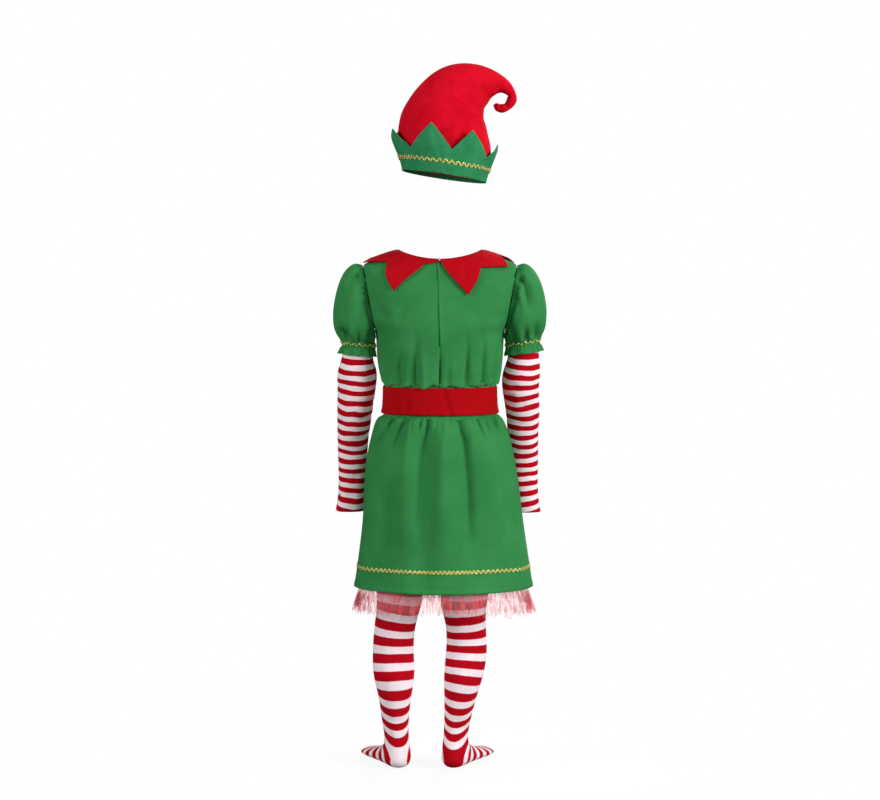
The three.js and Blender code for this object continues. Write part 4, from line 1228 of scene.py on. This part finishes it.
for side, wrinkles in ARM_WRINKLES.items():
    node = "undersleeve_" + side
    sleeve = smooth_tube(node)
    map_tube(sleeve, SLEEVE_RADIUS)
    towards = normals_of(sleeve)[:, 1]
    press(sleeve, flat_view, wrinkles, ramp(-towards, *WRINKLE_SHARE))
    moved = [w._replace(points=[(x, z - FRONT_SHIFT) for x, z in w.points[::-1]]) for w in wrinkles]
    press(sleeve, flat_view, moved, ramp(towards, *WRINKLE_SHARE) * FRONT_WEAKER)
    sink(sleeve, SLEEVE_TUCK * ramp(places_of(sleeve)[:, 2] / MM, *SLEEVE_TUCK_Z))
    finished(sleeve, sleeve_knit[side], [node], KNIT_CLOTH)

# %% [markdown]
# The skirt is gathered into the waist under the belt. Some gathers die out within a hand's breadth and
# some run down to the hem as long soft folds, so the drawn creases differ in length and width.

# %% Folds of the skirt
BELT_FOOT_Z = -286
SKIRT_BACK_FOLDS = folds_from(BELT_FOOT_Z, [
    (-56, [(-66, -330), (-76, -372)], 6.7, 8.4, 0.6),
    (-42, [(-47, -330), (-50, -366)], 6, 7, 0.6),
    (-24, [(-26, -316)], 4.5, 3.6, 0.7),
    (-15, [(-20, -360), (-21, -540)], 8.4, 7, 0.4),
    (-6, [(-5, -318)], 5.1, 3, 0.7),
    (10, [(10, -316)], 4.5, 3.4, 0.7),
    (19, [(24, -330), (26, -420), (25, -550)], 10, 8.4, 0.4),
    (31, [(34, -345)], 5.4, -3.6, 0.7),
    (42, [(44, -345)], 5.4, 5.6, 0.7),
    (52, [(54, -318)], 4.7, -3.2, 0.7),
    (61, [(60, -350)], 5.9, 6, 0.6),
    (68, [(68, -320)], 4.7, -3.2, 0.7),
    (78, [(74, -372)], 6.5, 5.5, 0.6),
    (-80, [(-86, -360)], 6.5, 5, 0.6),
]) + [
    Crease([(-49, -288), (-60, -330)], 5.9, -4.6, (0.02, 0.7)),
    Crease([(-32, -288), (-35, -350), (-34, -420)], 8.9, -5, (0.05, 0.7)),
    Crease([(2, -292), (1, -400), (0, -550)], 14.5, -5.6, (0.1, 0.4)),
    Crease([(-47, -400), (-46, -560)], 15, 4.5, (0.3, 0.3)),
    Crease([(-62, -390), (-60, -560)], 13.4, -4, (0.3, 0.3)),
    Crease([(50, -390), (52, -570)], 14.9, -4.4, (0.3, 0.3)),
]
SKIRT_FRONT_FOLDS = folds_from(BELT_FOOT_Z, [
    (98, [(102, -350)], 5.9, 5, 0.6),
    (107, [(111, -330)], 5.2, -3.6, 0.7),
    (117, [(122, -380)], 6.7, 6, 0.6),
    (127, [(129, -318)], 4.7, 3.2, 0.7),
    (139, [(142, -400), (143, -540)], 8.9, 5.2, 0.5),
    (150, [(152, -322)], 5.1, -3.2, 0.7),
    (157, [(160, -344)], 5.9, 4.1, 0.6),
    (170, [(171, -312)], 4.7, 3, 0.7),
    (189, [(188, -318)], 4.7, 3.2, 0.7),
    (201, [(200, -380), (198, -520)], 8.9, 5.8, 0.5),
    (213, [(215, -330)], 5.4, -3.6, 0.7),
    (224, [(229, -352)], 6.3, 5.2, 0.6),
    (236, [(240, -316)], 4.7, 3.2, 0.7),
    (249, [(254, -368)], 6.7, 5.8, 0.6),
    (261, [(263, -324)], 5.1, 3.6, 0.7),
]) + [
    Crease([(179, -290), (181, -420), (180, -520)], 13.4, -3.9, (0.1, 0.5)),
]
print("folds of the skirt:", len(SKIRT_BACK_FOLDS), "behind and", len(SKIRT_FRONT_FOLDS), "in front")

# %% [markdown]
# Between the long folds there are many small gathers just under the belt. The lowest centimetre is the
# turned-up hem: the cloth is double there, with a row of stitches above it, so the sheet swells over
# the hem and has a dent along the stitches.

# %% Skirt
HEM_Z = -610
HEM_DEPTH = 11.5
HEM_SIDE_RISE = 3
HEM_SWELL = 0.7
STITCH_DENT = 1.3
STITCH_DENT_REACH = 1.7
WAIST_GATHER = 1.6
WAIST_WAVES = 47
WAIST_START = (286, 298)
WAIST_END = (300, 330)
WAIST_TUCK = 1.2
WAIST_TUCK_Z = (-292, -284)
SIDE_SEAM_Y = 6


def double_hem(ob):
    """Swells the turned-up cloth and dents it along the row of stitches. The hem rises at the sides."""
    places = places_of(ob) / MM
    side = places[:, 0] / np.hypot(places[:, 0], places[:, 1])
    up = places[:, 2] - HEM_Z - HEM_SIDE_RISE * side**2
    swell = HEM_SWELL * ramp(up, HEM_DEPTH + 1.5, HEM_DEPTH - 2)
    sink(ob, STITCH_DENT * hill(up, HEM_DEPTH, STITCH_DENT_REACH) - swell)


def fine_gathers(ob):
    """The many small gathers just under the belt, where the skirt's edge is also tucked in."""
    places = places_of(ob) / MM
    angle = np.arctan2(places[:, 0], -places[:, 1])
    fade = ramp(-places[:, 2], *WAIST_START) * (1 - ramp(-places[:, 2], *WAIST_END))
    tuck = WAIST_TUCK * ramp(places[:, 2], *WAIST_TUCK_Z)
    sink(ob, WAIST_GATHER * fade * uneven(angle, WAIST_WAVES, 2) + tuck)


def side_seam(co):
    return abs(co.y) < SIDE_SEAM_Y and co.z < BELT_FOOT_Z


def make_skirt(half, chart, folds):
    node = "skirt_" + half
    ob = smooth_sheet(node, [DRESS_CLOTH])
    press(ob, chart, folds)
    fine_gathers(ob)
    draw_in_seams(ob, side_seam, depth=0.8, width=3)
    double_hem(ob)
    return finished(ob, dress_green, [node], DRESS_CLOTH)


skirt_back = make_skirt("back", round_body, SKIRT_BACK_FOLDS)
skirt_front = make_skirt("front", round_front, SKIRT_FRONT_FOLDS)

# %% [markdown]
# Ric-rac is a flat braid that swings up and down like a wave. A ring of points is found on the cloth by
# casting rays outwards from the middle of the garment, and the braid's flat oval section is carried
# along that wave. One function makes the braid of the hem, the hat and both cuffs.

# %% Ric-rac
Ring = namedtuple("Ring", "centre tilt lean waves swing lift")
BRAID_SECTION = 8
BRAID_WIDTH = 3.7
CUFF_BRAID_WIDTH = 3.2
BRAID_HEIGHT = 1.1
STEPS_PER_WAVE = 12
SWING_VARIES = 0.12
BRAID_WANDER = 0.4


def ring_direction(turn, tilt=0.0, lean=0.0):
    """A direction from the middle of a tilted ring. Tilt lifts its right side, lean its back."""
    x, y = math.sin(turn), -math.cos(turn)
    return Vector((x, y, x * tilt - y * lean)).normalized()


def outside_point(tree, start, outwards):
    """Where a ray from inside a garment meets its cloth, and the way out of the cloth there."""
    place, normal = cast(tree, start, outwards)
    return place, normal if normal.dot(outwards) > 0 else -normal


def make_braid(name, under, ring, width=BRAID_WIDTH):
    """Lays a wave of braid round a garment, on the sheets under it."""
    tree = tree_of(*under)
    steps = ring.waves * STEPS_PER_WAVE

    def middle(u):
        turn = 2 * math.pi * u
        swing = ring.swing / 2 * math.sin(turn * ring.waves) * (1 + SWING_VARIES * math.sin(turn * 5))
        rise = Vector((0, 0, swing + BRAID_WANDER * math.sin(turn * 9 + 1)))
        start = (Vector(ring.centre) + rise) * MM
        return outside_point(tree, start, ring_direction(turn, ring.tilt, ring.lean))

    middles = [middle(i / steps) for i in range(steps)]

    def place(u, v):
        i = round(u * steps) % steps
        point, normal = middles[i]
        ahead = middles[(i + 1) % steps][0] - middles[i - 1][0]
        side = normal.cross(ahead).normalized()
        around = 2 * math.pi * v
        lift = ring.lift + BRAID_HEIGHT / 2 + BRAID_HEIGHT / 2 * math.sin(around)
        return point + side * (width / 2 * math.cos(around) * MM) + normal * (lift * MM)

    ob = rolled(name + "_tinsel", steps, BRAID_SECTION, place)
    for corner in ob.data.uv_layers["cloth"].data:
        corner.uv.x *= ring.waves * 2
    finished(ob, gold, [name])


make_braid("hem_braid", [skirt_back, skirt_front], Ring((6.5, 0, -569), 0, 0, 99, 4.6, 0.1))
for side, elastic in ELASTIC.items():
    cuff_ring = Ring(elastic["centre"], elastic["rise"], 0, 20, 3.4, 0.2)
    make_braid("cuff_braid_" + side, [puffs[side]], cuff_ring, CUFF_BRAID_WIDTH)

# %% [markdown]
# A sewn row of stitches is a chain of short slim threads, each pressed into the cloth at its ends. One
# small low-faced bead is made for each stitch, stretched along the seam, and all of them are one mesh.

# %% Stitches
STITCH_LENGTH = 2.6
STITCH_GAP = 0.9
STITCH_RADIUS = 0.33
STITCH_LIFT = 0.1
LINE_STEPS = 2400
SEAM_CENTRE = (6.5, 0, HEM_Z + HEM_DEPTH + 1.5)
thread_green = napped("thread_green", colour(26, 92, 48), colour(48, 128, 70), 0.2)


def make_stitches(name, line):
    """Stitches along a line of (place, normal) pairs in metres."""
    bm = bmesh.new()
    gone = 0.0
    for (a, normal), (b, _) in zip(line, line[1:]):
        gone += (b - a).length
        if gone < (STITCH_LENGTH + STITCH_GAP) * MM:
            continue
        gone = 0.0
        along = (b - a).normalized()
        side = normal.cross(along).normalized()
        turn = Matrix((along, side, normal)).transposed().to_4x4()
        size = Matrix.Diagonal((STITCH_LENGTH / 2, STITCH_RADIUS, STITCH_RADIUS, 1 / MM)) * MM
        spot = Matrix.Translation(a + normal * (STITCH_LIFT * MM))
        bmesh.ops.create_uvsphere(bm, u_segments=6, v_segments=4, radius=1, matrix=spot @ turn @ size)
    return finished(new_object(name, bm), thread_green)


skirt_tree = tree_of(skirt_back, skirt_front)
turns = [2 * math.pi * i / LINE_STEPS for i in range(LINE_STEPS + 1)]
seam = [outside_point(skirt_tree, Vector(SEAM_CENTRE) * MM, ring_direction(turn)) for turn in turns]
hem_stitches = make_stitches("hem_stitches", seam)

# %% [markdown]
# The belt is a wide band of the red cloth, folded double, that closes in front. It is only held by the
# gathers under it, so it creases where the waist bends: one long slanting crease at the back and a few
# short ones near the sides. Its folded edges are round, and the lower one stands off the skirt.

# %% Belt
BELT_CLOTH = 2
BELT_CREASES = [
    Crease([(0, -226), (5, -256), (11, -286)], 4.4, 2.0, (0.02, 0.02)),
    Crease([(8, -228), (12, -258), (18, -284)], 6, -1.2, (0.1, 0.1)),
    Crease([(-42, -236), (-40, -286)], 5, 2.2, (0.4, 0.02)),
    Crease([(-35, -228), (-34, -270)], 5, -1.2, (0.1, 0.5)),
    Crease([(-56, -258), (-47, -286)], 4.5, 2, (0.4, 0.02)),
    Crease([(60, -226), (62, -286)], 5, 2.2, (0.02, 0.3)),
    Crease([(72, -240), (74, -284)], 5, -1.2, (0.3, 0.1)),
    Crease([(-20, -270), (2, -276)], 5, -1, (0.4, 0.4)),
    Crease([(26, -232), (34, -266)], 6, 1.4, (0.05, 0.6)),
    Crease([(100, -228), (106, -284)], 5, 2, (0.1, 0.1)),
    Crease([(130, -226), (125, -270)], 5, 1.8, (0.02, 0.5)),
    Crease([(148, -240), (150, -286)], 5, -1.2, (0.3, 0.1)),
    Crease([(-100, -226), (-104, -280)], 5, 2, (0.02, 0.2)),
    Crease([(-128, -244), (-122, -286)], 5, 1.8, (0.3, 0.02)),
    Crease([(-146, -228), (-148, -276)], 5, -1.2, (0.1, 0.2)),
]
EDGE_ROLL = 1.0
EDGE_WIDTH = 2.4
BELT_FLARE = 1.6
BELT_FLARE_Z = (268, 284)

belt = smooth_sheet("belt", [BELT_CLOTH])
press(belt, round_body, BELT_CREASES)
sink(belt, EDGE_ROLL * (1 - ramp(edge_distance(belt), 0, EDGE_WIDTH)))
sink(belt, -BELT_FLARE * ramp(-places_of(belt)[:, 2] / MM, *BELT_FLARE_Z))
finished(belt, belt_red, ["belt"], BELT_CLOTH)

# %% [markdown]
# The petticoat is stiff net cut in strips with raw, ragged edges and gathered into deep pleats that
# flare below the hem. A strip is a grid rolled round the skirt's inside, pleated by uneven waves that
# grow downwards, and its lower edge is pulled into spikes. Two strips lie one inside the other.

# %% Petticoat
NET_RINGS = [
    # height, half width, back depth, front depth
    (-566, 159.1, 121.1, 117.7),
    (-607, 163.7, 122.7, 119.9),
    (-634, 170, 129, 126),
    (-661, 178, 136, 133),
]
NET_SQUARE = 2.15
NET_SHIFT = 6.2
NET_TOP = -572
NET_TUCK = 5
NET_FLARE = 0.28
NET_LOOSE = (606, 645)
NET_GRID = (900, 16)
SPIKES = [(5, 61, 0), (4, 139, 2)]
SPIKE_SWELL = 5
PLEAT_LEAST = 0.3
PLEAT_SLANT = 0.04
FINE_PLEATS = 2.7
FINE_DEPTH = 1.2


def net_ring(turn, height):
    """A point of the plain strip, before it is pleated."""
    table = np.array(NET_RINGS)[::-1]
    half, back, front = (np.interp(height, table[:, 0], table[:, i]) for i in (1, 2, 3))
    if height < NET_RINGS[-1][0]:
        flare = (NET_RINGS[-1][0] - height) * NET_FLARE
        half, back, front = half + flare, back + flare, front + flare
    x, y = math.sin(turn), -math.cos(turn)
    reach = (abs(x) ** NET_SQUARE + abs(y) ** NET_SQUARE) ** (-1 / NET_SQUARE)
    return Vector((NET_SHIFT + half * reach * x, (back if y < 0 else front) * reach * y, height))


def make_net(name, inset, pleats, depth, length, seed, finish, replaces=()):
    """One strip: inset and pleat depth in millimetres, length the height of its mean lower edge."""

    def place(u, v):
        turn = 2 * math.pi * (u - 0.5)
        spikes = sum(size * uneven(turn, waves, seed + more) for size, waves, more in SPIKES)
        spikes += SPIKE_SWELL * math.sin(3 * turn + seed)
        height = NET_TOP + (length - NET_TOP + spikes) * v
        loose = ramp(-height, *NET_LOOSE)
        wave = uneven(turn + PLEAT_SLANT * v * math.sin(9 * turn + seed), pleats, seed)
        fine = FINE_DEPTH * loose * uneven(turn, pleats * FINE_PLEATS // 1, seed + 1)
        pleat = (PLEAT_LEAST + depth * loose) * (1 - wave) / 2
        inwards = inset + NET_TUCK * (1 - loose) + pleat + fine
        point = net_ring(turn, height)
        away = Vector((point.x - NET_SHIFT, point.y, 0)).normalized()
        return (point - away * inwards) * MM

    ob = rolled(name, *NET_GRID, place)
    finished(ob, finish, replaces)


make_net("petticoat_net", 0.4, 58, 11, -646, 0.6, net_red, ["petticoat"])
make_net("petticoat_net_middle", 3.0, 47, 12, -650, 2.1, net_pale)

# %% [markdown]
# The tights are one fine-knit tube for each leg, with a foot, joined at the brief under the skirt. The
# knit wrinkles a little behind the knee and at the ankle, where the cloth is slack. Over the instep its
# rings are drawn up towards the shin, so the stripes slant there as they do on a worn stocking.

# %% Tights
LEG_WRINKLES = {
    "right": [
        Crease([(14, -640), (40, -646), (70, -640)], 6, 1.4, (0.3, 0.4)),
        Crease([(76, -662), (52, -668), (30, -664)], 6, 1.4, (0.2, 0.6)),
        Crease([(22, -856), (34, -862), (50, -858)], 4.3, 1.6, (0.3, 0.3)),
        Crease([(48, -872), (34, -878), (22, -874)], 4.1, 1.8, (0.2, 0.5)),
        Crease([(20, -890), (34, -897), (46, -892)], 4.1, 1.6, (0.3, 0.3)),
    ],
    "left": [
        Crease([(-116, -644), (-90, -650), (-60, -646)], 6, 1.4, (0.3, 0.4)),
        Crease([(-56, -668), (-80, -674), (-102, -668)], 6, 1.4, (0.2, 0.6)),
        Crease([(-100, -854), (-86, -860), (-70, -856)], 4.3, 1.6, (0.3, 0.3)),
        Crease([(-70, -870), (-84, -876), (-98, -870)], 4.1, 1.8, (0.2, 0.5)),
        Crease([(-98, -888), (-84, -895), (-70, -890)], 4.1, 1.6, (0.3, 0.3)),
    ],
}
LEG_RADIUS = 0.04
BRIEF_RADIUS = 0.1
INSTEP_RISE = 26
INSTEP_Z = (780, 900)
INSTEP_Y = (-46, 0)
BRIEF_TUCK = 4
BRIEF_TUCK_Z = (-400, -340)


def make_leg(side, finish):
    node = "tights_leg_" + side
    ob = smooth_tube(node)
    places = places_of(ob) / MM
    map_tube(ob, LEG_RADIUS, INSTEP_RISE * ramp(-places[:, 2], *INSTEP_Z) * ramp(places[:, 1], *INSTEP_Y))
    press(ob, flat_view, LEG_WRINKLES[side])
    finished(ob, finish, [node], KNIT_CLOTH)


def make_brief(side, finish):
    node = "tights_brief_" + side
    ob = smooth_sheet(node, [KNIT_CLOTH])
    places = places_of(ob)
    write_map(ob, np.arctan2(places[:, 0], -places[:, 1]), -places[:, 2], BRIEF_RADIUS)
    sink(ob, BRIEF_TUCK * ramp(places[:, 2] / MM, *BRIEF_TUCK_Z))
    finished(ob, finish, [node], KNIT_CLOTH)


for side, finish in tights_knit.items():
    make_leg(side, finish)
    make_brief(side, finish)

# %% [markdown]
# The hat's crown is two flat felt shapes sewn together along the outline and turned inside out, so its
# seam runs round the silhouette and the felt swells in between. It was folded down the middle in its
# packet, which left a soft ridge, and the curled point is stuffed and wrinkles on its inner side.

# %% Hat crown
FELT = 2
TIP_FELT = 0.35
CROWN_CREASES = [
    Crease([(28, 362), (26, 320), (27, 270), (25, 190)], 5.5, -1.4, (0.2, 0.1)),
    Crease([(102, 287), (112, 285), (124, 289)], 8, -2.4, (0.2, 0.5)),
    Crease([(36, 352), (35, 300), (36, 250)], 5.5, 0.4, (0.3, 0.4)),
    Crease([(-11, 350), (-12, 310)], 5.5, -1.3, (0.4, 0.4)),
    Crease([(100, 316), (118, 330), (128, 326)], 4, 2.6, (0.1, 0.5)),
    Crease([(124, 306), (134, 312), (141, 308)], 3.7, 2.6, (0.05, 0.5)),
    Crease([(118, 298), (124, 290), (128, 284)], 3.3, 1.9, (0.1, 0.5)),
    Crease([(112, 292), (112, 284), (110, 279)], 2.9, 1.6, (0.1, 0.5)),
    Crease([(96, 300), (80, 318), (58, 330)], 8.8, 1.9, (0.1, 0.7)),
    Crease([(88, 268), (66, 262), (48, 268)], 8.8, 1.9, (0.1, 0.7)),
    Crease([(-70, 236), (-52, 262), (-40, 300)], 9.9, 1.3, (0.3, 0.5)),
    Crease([(70, 236), (72, 210), (80, 190)], 7.7, 1.4, (0.3, 0.3)),
]
OUTLINE_Y = 1.5


def outline_seam(co):
    return abs(co.y) < OUTLINE_Y


for half, share in (("back", 1.0), ("front", 0.8)):
    node = "hat_crown_" + half
    crown = smooth_sheet(node, [FELT, TIP_FELT], "felt")
    press(crown, flat_view, CROWN_CREASES, share)
    draw_in_seams(crown, outline_seam, width=2.4)
    finished(crown, hat_red, [node], FELT)

# %% [markdown]
# The band is a strip of thick green felt cut into tall points, turned up round the crown. Felt doesn't
# fray, so its edge is bare. The points stand away from the crown at its sides and lean towards it at
# the back and the front, each bent a little in its own way. The braid runs below the notches.

# %% Hat band
BAND_BENDS = [
    Crease([(-44, 186), (-43, 222)], 9, 1.8, (0.3, 0.3)),
    Crease([(-14, 200), (-14, 246)], 11, -1.5, (0.4, 0.2)),
    Crease([(9, 176), (9, 200)], 8, 1.8, (0.4, 0.2)),
    Crease([(32, 190), (32, 240)], 11, -1.5, (0.4, 0.2)),
    Crease([(57, 170), (57, 192)], 8, 1.8, (0.4, 0.2)),
]
BAND_FOOT_Z = 158
BAND_CLOSE = 4.5
BAND_TIPS = (30, 80)
BAND_BACK = (0.3, 0.9)
HAT_TILT = math.tan(math.radians(-8.4))

band = smooth_sheet("hat_band", [FELT], "felt")
press(band, round_body, BAND_BENDS)
rise = places_of(band)[:, 2] / MM - BAND_FOOT_Z
level = abs(normals_of(band)[:, 1])
sink(band, BAND_CLOSE * ramp(rise, *BAND_TIPS) * ramp(level, *BAND_BACK))
finished(band, hat_green, ["hat_band"], FELT)
make_braid("hat_braid", [band], Ring((7.6, 0, 182.2), HAT_TILT, 0.04, 54, 5.4, 0.1))
